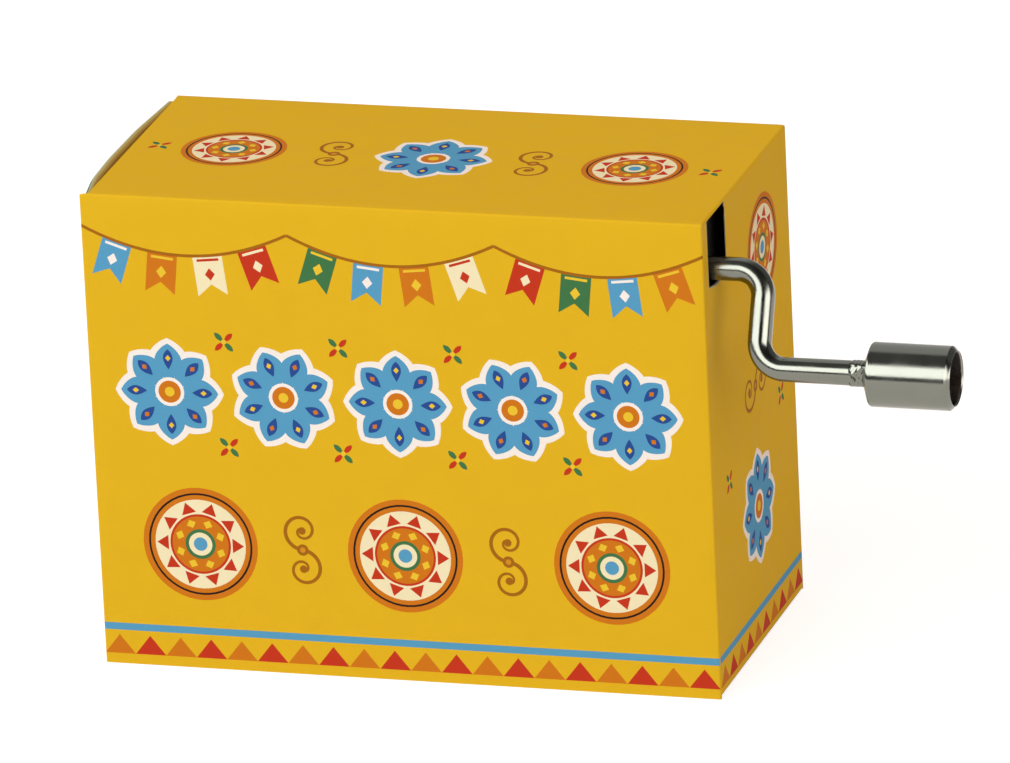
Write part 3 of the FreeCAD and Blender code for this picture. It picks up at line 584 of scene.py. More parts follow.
@dataclass(frozen=True)
class Finish:
    """What every finish shares: a colour with a slow and a fine unevenness, a gloss and a relief.

    The fine noise has lumps of the grain's size, the slow one lumps slow_lumps times as large.
    """

    name: str
    colour: str
    roughness: float
    metallic: float = 0.0
    grain: float = 0.3
    shade: float = 0.04
    gloss_change: float = 0.05
    relief: float = 0.003
    specular: float = 0.5
    stretch: Triple = (1.0, 1.0, 1.0)
    slow_lumps: ClassVar[float] = 14
    one_noise: ClassVar[Pair] = (0.3, 0.7)
    two_noises: ClassVar[Pair] = (0.6, 1.4)

    def base(self, tree: Tree) -> Socket:
        """Gives the colour before its unevenness: here the same one all over."""
        colour = add(tree, "ShaderNodeRGB").outputs[0]
        colour.default_value = linear(self.colour)
        return colour

    def height(self, tree: Tree, fine: Socket) -> Socket:
        """Gives the relief's height: here the fine noise itself."""
        return fine

    def texture(self, tree: Tree, size: float, detail: float = 3.0) -> Socket:
        """Adds a noise whose lumps are of a real size.

        Args:
            tree: The node tree.
            size: The lumps' size in millimetres.
            detail: How many finer layers it has.

        Returns:
            The noise, about 0.5 at its middle.
        """
        place = add(tree, "ShaderNodeTexCoord").outputs["Object"]
        stretched = add(tree, "ShaderNodeMapping", {"Vector": place, "Scale": self.stretch}).outputs[0]
        inputs = {"Vector": stretched, "Scale": 1 / (size * MM), "Detail": detail, "Roughness": 0.55}
        return add(tree, "ShaderNodeTexNoise", inputs).outputs[0]

    def make(self) -> bpy.types.Material:
        """Builds the material.

        Returns:
            The material.
        """
        material = bpy.data.materials.new(self.name)
        tree = cleared(material)
        fine = self.texture(tree, self.grain)
        slow = self.texture(tree, self.slow_lumps * self.grain, 2.0)
        both = worked_out(tree, "ADD", fine, slow)
        factor = ranged(tree, both, self.two_noises, (1 - self.shade, 1 + self.shade))
        colour = {0: self.base(tree), "Scale": factor}
        duller, glossier = self.roughness + self.gloss_change, self.roughness - self.gloss_change
        bump = {"Height": self.height(tree, fine), "Distance": self.relief * MM, "Strength": 1.0}
        inputs = {
            "Base Color": add(tree, "ShaderNodeVectorMath", colour, operation="SCALE").outputs[0],
            "Roughness": ranged(tree, slow, self.one_noise, (glossier, duller)),
            "Metallic": self.metallic,
            "Normal": add(tree, "ShaderNodeBump", bump).outputs[0],
            "Specular IOR Level": self.specular,
        }
        shader = add(tree, "ShaderNodeBsdfPrincipled", inputs).outputs[0]
        add(tree, "ShaderNodeOutputMaterial", {"Surface": shader})
        material.diffuse_color = linear(self.colour)
        return material


@dataclass(frozen=True)
class Metal(Finish):
    """A bare or plated metal: all its colour is in its reflections."""

    metallic: float = 1.0


@dataclass(frozen=True)
class PrintedBoard(Finish):
    """Folding boxboard, offset printed and varnished: even flat inks under a satin film, with faint fibre."""

    def base(self, tree: Tree) -> Socket:
        """Gives the ink that the piece's own attribute holds."""
        return add(tree, "ShaderNodeAttribute", attribute_name=INK_ATTRIBUTE).outputs["Color"]


@dataclass(frozen=True)
class RecessShadedSteel(Metal):
    """Plated steel with painted shade in its recesses: darker where little of the surroundings reaches it."""

    reach: float = 1.2
    darkest: float = 0.12
    closed_and_open: Pair = (0.55, 0.95)

    def base(self, tree: Tree) -> Socket:
        """Gives the plating's colour with painted shade, darker the more of its half sphere is closed in
        within its reach.

        Args:
            tree: The node tree.

        Returns:
            The colour.
        """
        # Painted shade: the colour darkens with ambient occlusion.
        occlusion = add(tree, "ShaderNodeAmbientOcclusion", {"Distance": self.reach * MM}, only_local=True)
        openness = ranged(tree, occlusion.outputs["AO"], self.closed_and_open, (self.darkest, 1.0))
        colour = {0: linear(self.colour)[:3], "Scale": openness}
        return add(tree, "ShaderNodeVectorMath", colour, operation="SCALE").outputs[0]


@dataclass(frozen=True)
class FlapBoard(Finish):
    """White boxboard flap whose outer side takes the ground ink for a few millimetres past its fold.

    The outer sides of the flaps lie flush with the sleeve's cut ends.
    """

    bleed_from: float = 11.4
    skin: float = 0.05

    def base(self, tree: Tree) -> Socket:
        """Gives the ground ink where the point is outside and near the fold, and white elsewhere.

        Args:
            tree: The node tree.

        Returns:
            The colour.
        """
        place = add(tree, "ShaderNodeTexCoord").outputs["Object"]
        apart = add(tree, "ShaderNodeSeparateXYZ", {0: place})
        outer_side = box_mm("sleeve")[1][0] - self.skin
        sides = []
        for axis, least in (("X", outer_side), ("Y", self.bleed_from)):
            size = worked_out(tree, "ABSOLUTE", apart.outputs[axis])
            sides.append(worked_out(tree, "GREATER_THAN", size, least * MM))
        # A Mix node's colours are its inputs 6 and 7 and its output 2.
        mixed = {0: worked_out(tree, "MULTIPLY", *sides), 6: linear(self.colour), 7: linear(Ink.YELLOW.value)}
        return add(tree, "ShaderNodeMix", mixed, data_type="RGBA").outputs[2]


@dataclass(frozen=True)
class TurnedMetal(Metal):
    """Metal turned on a lathe: fine rings about an axis along X that draw the gloss out into a band."""

    pitch: float = 0.24
    bands_per_unit: ClassVar[float] = 20 / FULL_TURN

    def height(self, tree: Tree, fine: Socket) -> Socket:
        """Gives rings a tool feed apart, a little wavy, with the fine noise on them.

        Args:
            tree: The node tree.
            fine: The fine noise.

        Returns:
            The height.
        """
        place = add(tree, "ShaderNodeTexCoord").outputs["Object"]
        scale = 1 / (self.pitch * MM) / self.bands_per_unit
        wave = {"Vector": place, "Scale": scale, "Distortion": 0.4, "Detail": 1.0}
        rings = add(tree, "ShaderNodeTexWave", wave, wave_type="BANDS", bands_direction="X").outputs[1]
        return worked_out(tree, "ADD", rings, fine)


class Finishes:
    """Every finish of the music box as a material, by what the real one is."""

    def __init__(self) -> None:
        """Builds the materials."""
        # Satin varnish over flat ink on smooth coated board: nearly even, with fibre just felt in the gloss.
        ground = Ink.YELLOW.value
        film = {"grain": 0.22, "shade": 0.022, "relief": 0.0012, "specular": 0.04}
        self.printed = PrintedBoard("offset printed boxboard", ground, 0.6, **film).make()
        # Uncoated reverse of the board: dull warm white with short fibres.
        fibres = {"grain": 0.18, "shade": 0.05, "relief": 0.004}
        self.inside = Finish("uncoated boxboard reverse", "#E9E6DC", 0.8, **fibres).make()
        # Die cut edge of the board: its greyish core.
        core = {"grain": 0.08, "shade": 0.12, "relief": 0.01}
        self.edge = Finish("die cut boxboard edge", "#D9D8C8", 0.85, **core).make()
        # Coated face of a flap: smooth cool white, with the ground ink where the print runs past the fold.
        coating = {"grain": 0.2, "shade": 0.02, "relief": 0.0012}
        self.flap = FlapBoard("coated boxboard flap", "#F2F1EA", 0.55, **coating).make()
        # Bright nickel over drawn steel wire: warm grey mirror, softened by the drawing's fine pits.
        drawn = {"grain": 0.13, "shade": 0.05, "gloss_change": 0.06, "relief": 0.0035}
        self.nickel = Metal("bright nickel plated drawn steel", "#7F8178", 0.18, **drawn).make()
        # The same nickel over a turned cup, whose tool rings draw the light along it.
        turned = {"grain": 0.16, "shade": 0.05, "gloss_change": 0.06, "relief": 0.003}
        self.knob = TurnedMetal("bright nickel plated turned steel", "#7F8178", 0.17, **turned).make()
        # Its drilled bore, bare steel gone brownish and rubbed bright by the rod's peened end.
        drilled = {"grain": 0.3, "shade": 0.2, "gloss_change": 0.12, "relief": 0.004}
        self.bore = Metal("drilled bare steel bore", "#A9A29C", 0.32, **drilled).make()
        # Ground comb steel: a cool grey with grinding lines drawn out along X.
        scratched = {"grain": 0.1, "shade": 0.08, "gloss_change": 0.08, "relief": 0.001}
        self.spring = Metal("ground spring steel", "#B4B4B6", 0.3, stretch=(0.1, 1, 1), **scratched).make()
        # Zinc plating on turned steel: a cool bright grey, even to the eye.
        plated = {"grain": 0.15, "shade": 0.06, "gloss_change": 0.06, "relief": 0.001}
        self.steel = Metal("zinc plated turned steel", "#C3C5C8", 0.26, **plated).make()
        # The same plating on a driven screw, with painted shade darkening its recess.
        driven = {"grain": 0.15, "shade": 0.08, "gloss_change": 0.06, "relief": 0.001}
        self.recess_shaded = RecessShadedSteel("zinc plated oiled screw steel", "#C3C5C8", 0.3, **driven).make()
        # Turned brass: a warm yellow gloss.
        bright = {"grain": 0.12, "shade": 0.05, "gloss_change": 0.06, "relief": 0.001}
        self.brass = Metal("turned brass", "#D9B566", 0.25, **bright).make()
        # Cast lead under the comb: dark, soft grey and blotched.
        soft = {"grain": 0.2, "shade": 0.12, "gloss_change": 0.1, "relief": 0.004}
        self.lead = Metal("cast lead", "#77787C", 0.55, **soft).make()
        # Damper bristles: milky nylon with a faint gloss.
        bristle = {"grain": 0.1, "shade": 0.03, "relief": 0.001}
        self.nylon = Finish("extruded nylon bristle", "#E4E4DC", 0.4, **bristle).make()
        # Die cast base: a dull warm grey skin, slightly pitted.
        cast = {"grain": 0.5, "shade": 0.09, "gloss_change": 0.09, "relief": 0.006}
        self.zinc = Metal("die cast zinc", "#A9A9A6", 0.48, **cast).make()
        # Black acetal moulding with a spark eroded skin: deep black, dull.
        eroded = {"grain": 0.12, "shade": 0.1, "relief": 0.003}
        self.moulding = Finish("moulded black acetal", "#131314", 0.5, **eroded).make()


@dataclass(frozen=True)
class Bend:
    """A fold at the end of a flat: where the flat stops and the radius of the quarter circle that follows."""

    at: float
    radius: float

    def past(self, beyond: np.ndarray) -> tuple[np.ndarray, np.ndarray, np.ndarray]:
        """Follows the board past the flat: round a quarter circle, then straight on at a right angle.

        Args:
            beyond: The way past the end of the flat, along the board.

        Returns:
            How far that gets ahead, how far down, and the angle turned.
        """
        quarter = self.radius * QUARTER_TURN
        angle = np.clip(beyond, 0, quarter) / self.radius
        ahead = self.radius * np.sin(angle)
        down = self.radius * (1 - np.cos(angle)) + np.clip(beyond - quarter, 0, None)
        return ahead, down, angle


@dataclass
class Board:
    """A flat of the carton's blank with its turned ends: a closed slab, printed outside.

    The outer face is cut into triangles along every print's outline and every fold, so that the inks lie in
    one surface. a runs along `across`, b along `up`, both from `origin`. The die crushes the cut edges thin.
    Each fold is cut into steps, and the flats into cells, so that a shift can bend them.
    """

    name: str
    outline: Outline
    prints: list[Print]
    origin: np.ndarray
    across: np.ndarray
    up: np.ndarray
    thickness: float
    a_bends: tuple[Bend | None, Bend | None] = (None, None)
    b_bends: tuple[Bend | None, Bend | None] = (None, None)
    holes: list[Outline] = field(default_factory=list)
    shift: Callable[[np.ndarray, np.ndarray], np.ndarray] | None = None
    ground: Ink = Ink.YELLOW
    steps: int = 6
    cells: float = 4.0
    crushed: float = 0.12
    overhang: ClassVar[float] = 1.0
    merged_within: ClassVar[float] = 1e-5

    def along(
        self, value: np.ndarray, bends: tuple[Bend | None, Bend | None], thick: np.ndarray
    ) -> tuple[np.ndarray, np.ndarray, np.ndarray, np.ndarray]:
        """Turns one blank coordinate into places outside and inside, a depth and how flat it still lies.

        The inner place is the outer one moved by the thickness times the sine of the angle turned, and it
        stops where the two inner faces of a fold meet.

        Args:
            value: The coordinate in the blank.
            bends: The folds at its low and high end, or None.
            thick: The board's thickness at each point.

        Returns:
            The outer place, the inner place, the depth behind the face and the cosine of the angle turned.
        """
        place, depth, flatness = value.copy(), np.zeros_like(value), np.ones_like(value)
        inner = value.copy()
        for bend, side in zip(bends, (-1, 1), strict=True):
            if bend is None:
                continue
            beyond = side * (value - bend.at)
            ahead, down, turned = bend.past(beyond)
            place = np.where(beyond > 0, bend.at + side * ahead, place)
            inner = np.where(beyond > 0, place - side * thick * np.sin(turned), inner)
            inner = side * np.minimum(side * inner, side * bend.at + bend.radius - thick)
            depth += down
            flatness *= np.cos(turned)
        return place, inner, depth, flatness

    def fold(self, flat: np.ndarray, rim: np.ndarray) -> tuple[np.ndarray, np.ndarray]:
        """Folds points of the blank: outer face and inner face.

        Args:
            flat: The points of the blank, a and b in each row.
            rim: The numbers of the points on a cut edge.

        Returns:
            The outer and the inner points.
        """
        thick = np.full(len(flat), self.thickness)
        thick[rim] = self.crushed
        a, inner_a, depth_a, flat_a = self.along(flat[:, 0], self.a_bends, thick)
        b, inner_b, depth_b, flat_b = self.along(flat[:, 1], self.b_bends, thick)
        outward = np.cross(self.across, self.up)
        depth = depth_a + depth_b
        inner_depth = np.maximum(depth + thick * flat_a * flat_b, thick)
        outer = self.origin + np.outer(a, self.across) + np.outer(b, self.up) - np.outer(depth, outward)
        inner = (
            self.origin
            + np.outer(inner_a, self.across)
            + np.outer(inner_b, self.up)
            - np.outer(inner_depth, outward)
        )
        if self.shift is not None:
            moved = self.shift(flat[:, 0], flat[:, 1])
            outer, inner = outer + moved, inner + moved
        return outer, inner

    def lines(self) -> list[tuple[np.ndarray, np.ndarray]]:
        """Gives the blank's lines that the mesh must follow: steps round each fold and a wide lattice.

        Returns:
            The two ends of each line.
        """
        low, high = self.outline.min(0) - self.overhang, self.outline.max(0) + self.overhang
        found = []
        for axis, bends in enumerate((self.a_bends, self.b_bends)):
            places = [bend.at for bend in bends if bend is not None]
            for bend, side in zip(bends, (-1, 1), strict=True):
                if bend is not None:
                    quarter = bend.radius * QUARTER_TURN
                    places += [bend.at + side * quarter * k / self.steps for k in range(1, self.steps + 1)]
            places += list(np.arange(math.ceil(low[axis] / self.cells), high[axis] / self.cells) * self.cells)
            for place in places:
                ends = np.array([low, high])
                ends[:, axis] = place
                found.append((ends[0], ends[1]))
        return found

    def cut(self) -> tuple[np.ndarray, np.ndarray, np.ndarray]:
        """Cuts the blank into triangles along its outline, its holes, its prints and its lines.

        Returns:
            The points, the triangles and the ink's linear colour of each triangle.
        """
        loops = [self.outline, *self.holes, *(shape for _, shape in self.prints)]
        points, faces, edges = [], [], []
        for loop in loops:
            faces.append(list(range(len(points), len(points) + len(loop))))
            points += loop.tolist()
        for first, last in self.lines():
            edges.append((len(points), len(points) + 1))
            points += [first.tolist(), last.tolist()]
        corners = [Vector(point) for point in points]
        whole_hull = 0
        found = delaunay_2d_cdt(corners, edges, faces, whole_hull, self.merged_within, True)
        found_points, _, found_faces, _, _, loops_of_faces = found
        holes = set(range(1, 1 + len(self.holes)))
        keep, top = [], []
        for face, origins in zip(found_faces, loops_of_faces, strict=True):
            if 0 in origins and not holes.intersection(origins):
                keep.append(face)
                top.append(max(origins))
        triangles = np.array(keep)
        used, triangles = np.unique(triangles, return_inverse=True)
        flat = np.array([tuple(point) for point in found_points])[used]
        table = [self.ground] * (1 + len(self.holes)) + [ink for ink, _ in self.prints]
        colours = np.array([linear(ink.value) for ink in table])
        return flat, triangles.reshape(-1, 3), colours[np.array(top)]

    def build(self, finishes: Finishes) -> Piece:
        """Builds the closed slab: the folded outer face, the same face inside, and the cut edges between.

        Args:
            finishes: The materials.

        Returns:
            The piece.
        """
        flat, triangles, inks = self.cut()
        corners = flat[triangles]
        sides = corners[:, 1:] - corners[:, :1]
        clockwise = sides[:, 0, 0] * sides[:, 1, 1] - sides[:, 0, 1] * sides[:, 1, 0] < 0
        triangles[clockwise] = triangles[clockwise][:, ::-1]
        count = len(flat)
        halves = np.concatenate([triangles[:, [0, 1]], triangles[:, [1, 2]], triangles[:, [2, 0]]])
        code, back = halves[:, 0] * count + halves[:, 1], halves[:, 1] * count + halves[:, 0]
        rim = halves[~np.isin(code, back)]
        outer, inner = self.fold(flat, np.unique(rim))
        walls = np.stack([rim[:, 1], rim[:, 0], rim[:, 0] + count, rim[:, 1] + count], 1)
        faces = [triangles, triangles[:, ::-1] + count, walls]
        slots = np.repeat([0, 1, 2], [len(part) for part in faces])
        colours = np.tile(np.array(linear(self.ground.value)), (len(slots), 1))
        colours[: len(inks)] = inks
        materials = [finishes.printed, finishes.inside, finishes.edge]
        return make_piece(self.name, np.concatenate([outer, inner]), faces, materials, slots, colours)


@dataclass
class Carton:
    """The folding carton: four panels in one sleeve, and two end panels with their tuck flaps.

    Its outer size is the model's: the sleeve's depth and height, and the width over the end panels, which
    lie flush between the returns of the front and back panels. The corner cut is a share of a crease's arc.
    The garland is its height and its sag, and a border is its base, its height and its pitch. The bow's
    places count from the front of the left fold, and its painted shade and cracked crease from where it
    starts to turn.
    """

    finishes: Finishes
    art: Artwork
    board: float = 0.4
    fold: float = 0.2
    lip: float = 0.8
    tip: float = 0.03
    scuff: float = 0.09
    seam: float = 0.02
    rim: float = 0.1
    corner_cut: float = 0.7
    left_inset: float = 0.85
    left_inset_back: float = 0.38
    right_cut: float = 0.5
    tuck_length: float = 10.0
    tuck_corner: float = 2.5
    bleed: float = 4.0
    notch_front: float = 1.65
    notch_behind: float = 2.8
    notch_below: float = 0.65
    notch_rise: float = 0.55
    notch_rise_from: float = 0.7
    strip_drop: float = 0.21
    chip: float = 0.2
    foot: float = 0.1
    cracked_foot: Pair = (0.5, 0.2)
    right_crushed: float = 0.04
    left_bow_places: tuple[float, ...] = (0, 4.6, 10.5, 19, 29)
    left_bow_moves: tuple[float, ...] = (-0.42, 0.42, 0.76, 0.82, 0.3)
    left_bow_softness: float = 0.8
    left_bow_fade: Pair = (9.0, 4.0)
    left_puff: float = 0.33
    left_puff_width: Pair = (1.6, 0.6)
    left_taper: float = 0.35
    left_step: float = 0.3
    left_shoulder: float = 1.3
    left_shoulder_rise: Pair = (0.8, 1.5)
    left_shoulder_foot: float = -0.6
    # Bands of painted shade on the left fold, with the cracked crease among them: each ink from its place
    # past the turn.
    left_tones: ClassVar[tuple[tuple[Ink, float], ...]] = (
        (Ink.SHADE_TEAL, -0.6),
        (Ink.CRACKED, 0.36),
        (Ink.HALF_SHADE, 0.6),
        (Ink.SHADED, 0.82),
        (Ink.DEEP_SHADE, 1.02),
        (Ink.YELLOW, 2.2),
    )
    # A teal wedge of painted shade along the front part of the left fold.
    left_shade_wedge: Pair = (0.3, 0.56)
    left_shade_wedge_length: float = 9.0
    # A black dot of painted shade for the gap at the front end of the left fold.
    left_gap_shade: Pair = (0.15, 0.42)
    left_gap_shade_radius: float = 0.22
    left_cells: float = 1.5
    washer_radius: float = 3.0
    screw_hole: float = 1.45
    swags: int = 3
    garland: Pair = (43.4, 2.5)
    front_flowers: int = 5
    back_flowers: int = 3
    back_shift: float = -3.2
    flower_row: Row = Row(height=27.4, pitch=11.1, radius=4.75)
    sprig_heights: Pair = (32.6, 22.2)
    sprig_size: float = 1.25
    medallion_row: Row = Row(height=12.4, pitch=20.0, radius=5.6)
    scroll_radius: float = 1.9
    border: Triple = (1.0, 1.9, 3.0)
    end_border: Triple = (1.0, 1.9, 2.9)
    narrow_flower: float = 5.2
    end_motifs: ClassVar[tuple[Motif, ...]] = (
        Motif(Artwork.medallion, (5.2, 37.6), 5.2),
        Motif(Artwork.scroll, (1.0, 25.4), 2.1),
        Motif(Artwork.flower, (0.6, 13.6), 5.2),
        Motif(Artwork.sprig, (-9.0, 19.4), 1.3),
        Motif(Artwork.sprig, (9.6, 21.6), 1.3),
    )
    top_motifs: ClassVar[tuple[Motif, ...]] = (
        Motif(Artwork.medallion, (19.5, 0.0), 5.0, 0.3),
        Motif(Artwork.scroll, (9.7, 0.0), 2.0, QUARTER_TURN),
        Motif(Artwork.sprig, (26.8, 0.0), 1.3),
    )
    low: np.ndarray = field(init=False)
    high: np.ndarray = field(init=False)
    half: float = field(init=False)
    end_half: float = field(init=False)

    def __post_init__(self) -> None:
        """Reads the carton's size from the model."""
        self.low, self.high = box_mm("sleeve")
        self.half, self.end_half = box_mm("right_end_panel")[1][:2]

    @property
    def depth(self) -> float:
        """The carton's size from front to back."""
        return self.high[1] - self.low[1]

    @property
    def arc(self) -> float:
        """The length of board that one crease takes: a quarter of its circle."""
        return self.fold * QUARTER_TURN

    @property
    def end_arc(self) -> float:
        """The length of board that an end panel's fold takes."""
        return self.board * QUARTER_TURN

    @property
    def flat(self) -> float:
        """The place along X where the front and back stop being flat."""
        return self.half - self.fold

    @property
    def reach(self) -> float:
        """The end of the front's and the back's blank along X, with its return on the end."""
        return self.flat + self.arc + self.tip

    @property
    def notch_back(self) -> float:
        """The notch's rear edge, past the crank's shaft."""
        return box_mm("crank_rod")[1][1] + self.notch_behind

    def notch(self) -> list[Pair]:
        """Gives the notch's lower corners in the end panel, from its rear round to its front.

        Returns:
            The corners, across and up the panel.
        """
        shaft = box_mm("crank_rod")[1] - Crank.radius
        low = shaft[2] - Crank.radius - self.notch_below
        front = self.low[1] + self.notch_front
        slope_from = shaft[1] + self.notch_rise_from
        return [(self.notch_back, low), (slope_from, low), (front, low + self.notch_rise)]

    def panel(
        self,
        name: str,
        outline: list[Pair] | Outline,
        prints: list[Print],
        origin: Triple,
        across: np.ndarray,
        up: np.ndarray,
        **folds: object,
    ) -> Piece:
        """Builds a board of the carton's own thickness.

        Args:
            name: The piece's name.
            outline: The corners of its blank.
            prints: What is printed on it.
            origin: Where its blank starts.
            across: The way that the blank's first coordinate runs.
            up: The way that its second one runs.
            **folds: Its bends and what else a Board takes.

        Returns:
            The piece.
        """
        blank, start = np.array(outline), np.array(origin)
        return Board(name, blank, prints, start, across, up, self.board, **folds).build(self.finishes)

    def wide_prints(self, middle: float, flowers: int) -> list[Print]:
        """Lays out a wide face: a garland, a row of flowers, and medallions with scrolls over a zigzag.

        Args:
            middle: Where the rows are centred.
            flowers: How many flowers stand in their row.

        Returns:
            The prints.
        """
        art = self.art
        prints = art.garland(-self.half, 2 * self.half / self.swags, self.swags, *self.garland)
        row = self.flower_row
        for k, (x, z) in enumerate(row.places(flowers, middle)):
            prints += art.flower((x, z), row.radius, (k % 2) * math.pi / 8)
            if k < flowers - 1:
                for height in self.sprig_heights:
                    prints += art.sprig((x + row.pitch / 2, height), self.sprig_size)
        row = self.medallion_row
        medallions = (flowers + 1) // 2
        for k, (x, z) in enumerate(row.places(medallions, middle)):
            prints += art.medallion((x, z), row.radius)
            if k < medallions - 1:
                prints += art.scroll((x + row.pitch / 2, z), self.scroll_radius, QUARTER_TURN)
        return prints + art.zigzag(-self.half, self.half, *self.border)

    def figures(self, motifs: tuple[Motif, ...], side: int, rise: float = 0.0) -> list[Print]:
        """Draws motifs on a panel.

        Args:
            motifs: The motifs.
            side: 1, or -1 to put them at the other side of the panel's middle.
            rise: How far up the panel they are moved.

        Returns:
            The prints.
        """
        prints: list[Print] = []
        for motif in motifs:
            x, z = motif.place
            prints += motif.draw(self.art, (side * x, z + rise), motif.size, motif.turn)
        return prints

    def end_prints(self, side: int) -> list[Print]:
        """Lays out an end panel: its motifs over a zigzag.

        Args:
            side: 1 for the right end, -1 for the left.

        Returns:
            The prints.
        """
        border = self.art.zigzag(-self.end_half, self.end_half, *self.end_border)
        return self.figures(self.end_motifs, side) + border

    def front(self) -> Piece:
        """Builds the front panel, whose ends return onto the end panels and whose top edge turns back.

        Returns:
            The piece.
        """
        top = self.high[2] - self.fold
        over = top + self.arc + self.lip
        cut = self.left_inset - self.half
        outline = [
            (-self.reach, 0.0),
            (self.reach, 0.0),
            (self.reach, top),
            (self.flat + self.corner_cut * self.arc, top + self.corner_cut * self.arc),
            (self.flat, top + self.arc),
            (self.flat, over),
            (cut, over),
            (cut, top + self.arc),
            (-self.flat, top + self.arc / 2),
            (-self.reach, top),
        ]
        return self.panel(
            "front_panel",
            outline,
            self.wide_prints(0.0, self.front_flowers),
            (0.0, self.low[1], 0.0),
            X_WAY,
            Z_WAY,
            a_bends=(Bend(-self.flat, self.fold), Bend(self.flat, self.fold)),
            b_bends=(None, Bend(top, self.fold)),
        )

    def screw_holes(self) -> list[Outline]:
        """Gives the holes of the carton screws, seen from behind: one under the middle of each washer.

        Returns:
            The holes' outlines.
        """
        low, high = box_mm("carton_washers")
        inset = self.washer_radius
        columns, rows = ((low[axis] + inset, high[axis] - inset) for axis in (0, 2))
        return [disc((-x, z), self.screw_hole, 24) for x in columns for z in rows]

    def back(self) -> Piece:
        """Builds the back panel with its screw holes, turned onto the top and the bottom.

        Returns:
            The piece.
        """
        bottom, top = self.fold, self.high[2] - self.fold
        under, over = bottom - self.arc - self.lip, top + self.arc + self.lip
        cut = self.high[0] - self.right_cut
        outline = [
            (-self.reach, bottom),
            (-cut, bottom - self.arc),
            (-cut, under),
            (self.flat, under),
            (self.flat, bottom - self.arc),
            (self.reach, bottom),
            (self.reach, top - self.left_inset_back),
            (self.half - self.left_inset_back, top + self.arc),
            (self.half - self.left_inset_back, over),
            (-self.flat, over),
            (-self.flat, top + self.arc),
            (-self.reach, top),
        ]
        rim = rectangle((-self.reach, bottom), (self.rim - self.reach, top))
        return self.panel(
            "back_panel",
            outline,
            [*self.wide_prints(self.back_shift, self.back_flowers), (Ink.CRACKED, rim)],
            (0.0, self.high[1], 0.0),
            -X_WAY,
            Z_WAY,
            a_bends=(Bend(-self.flat, self.fold), Bend(self.flat, self.fold)),
            b_bends=(Bend(bottom, self.fold), Bend(top, self.fold)),
            holes=self.screw_holes(),
        )

    def top(self) -> Piece:
        """Builds the top panel: a slanting cut edge at the left, the crease and the notch at the right.

        Returns:
            The piece.
        """
        depth = self.depth
        front, back = self.fold + self.lip, depth - self.fold - self.lip
        notch = self.notch_back - self.low[1]
        insets = np.interp((front, back), (0, depth), (self.left_inset, self.left_inset_back))
        outline = [
            (insets[0] - self.half, front),
            (self.flat, front),
            (self.flat, self.fold + self.seam),
            (self.reach, self.fold + self.seam),
            (self.reach, notch),
            (self.flat, notch),
            (self.flat, back),
            (insets[1] - self.half, back),
        ]
        prints = self.art.flower((0.0, depth / 2), self.narrow_flower)
        for side in (-1, 1):
            prints += self.figures(self.top_motifs, side, depth / 2)
        origin = (0.0, self.low[1], self.high[2])
        bends = (None, Bend(self.flat, self.fold))
        return self.panel("top_panel", outline, prints, origin, X_WAY, Y_WAY, a_bends=bends)

    def bottom(self) -> Piece:
        """Builds the bottom panel, from the back's turned edge to the front panel.

        Returns:
            The piece.
        """
        right = self.high[0] - self.right_cut
        outline = rectangle((-self.flat, self.fold + self.lip), (right, self.depth - self.board - self.seam))
        prints = self.art.flower((0.0, self.depth / 2), self.narrow_flower)
        return self.panel("bottom_panel", outline, prints, (0.0, self.high[1], 0.0), X_WAY, -Y_WAY)

    def crease_strip(self, name: str, side: int) -> Piece:
        """Builds the strip of board that turns from the top (right) or the bottom (left) to an end panel.

        Args:
            name: The piece's name.
            side: 1 for the right end, -1 for the left.

        Returns:
            The piece.
        """
        reach = self.arc + 2 * self.board - self.fold
        half = self.end_half
        if side > 0:
            outline = [
                (-half + self.chip, 0.0),
                (-self.notch_back, 0.0),
                (-self.notch_back, reach),
                (-half, reach),
                (-half, self.chip),
            ]
        else:
            outline = rectangle((-half, 0.0), (half, reach))
        origin = (side * self.flat, 0.0, self.high[2] if side > 0 else 0.0)
        bends = (None, Bend(0.0, self.fold))
        return self.panel(name, outline, [], origin, -Y_WAY, X_WAY * side, b_bends=bends)

    def right_end(self) -> Piece:
        """Builds the right end panel with the crank's notch and its tuck flap.

        Returns:
            The piece.
        """
        half = self.end_half
        flap_half = box_mm("right_tuck_flap")[1][1]
        turn_at = self.foot + self.board
        flap_start = turn_at - self.end_arc
        flap_end = flap_start - self.tuck_length
        corner = self.tuck_corner
        hung = self.high[2] - 2 * self.board
        strip = self.high[2] - self.strip_drop
        front = self.low[1] + self.notch_front
        outline = [
            (-half, flap_start),
            (-flap_half, flap_start),
            (-flap_half, flap_end + corner),
            (-flap_half + corner, flap_end),
            (flap_half - corner, flap_end),
            (flap_half, flap_end + corner),
            (flap_half, flap_start),
            (half, flap_start),
            (half, hung),
            (self.notch_back, hung),
            *self.notch(),
            (front, strip),
            (-half, strip),
        ]
        _, low_end, high_end = (np.array(corner) for corner in self.notch())
        under = np.array([0, self.scuff])
        foot_low, foot_high = (turn_at - drop for drop in self.cracked_foot)
        prints = [
            *self.end_prints(1),
            (Ink.CRACKED, rectangle((-half, foot_low), (half, foot_high))),
            (Ink.CRACKED, rectangle((front - self.scuff, high_end[1]), (front, strip))),
            (Ink.CRACKED, np.array([high_end - under, low_end - under, low_end, high_end])),
            (Ink.WHITE, rectangle((-half, flap_end), (half, flap_start - self.bleed))),
        ]
        return self.panel(
            "right_end_board",
            outline,
            prints,
            (self.half, 0.0, 0.0),
            Y_WAY,
            Z_WAY,
            b_bends=(Bend(turn_at, self.board), None),
            shift=self.right_shift,
            crushed=self.right_crushed,
        )

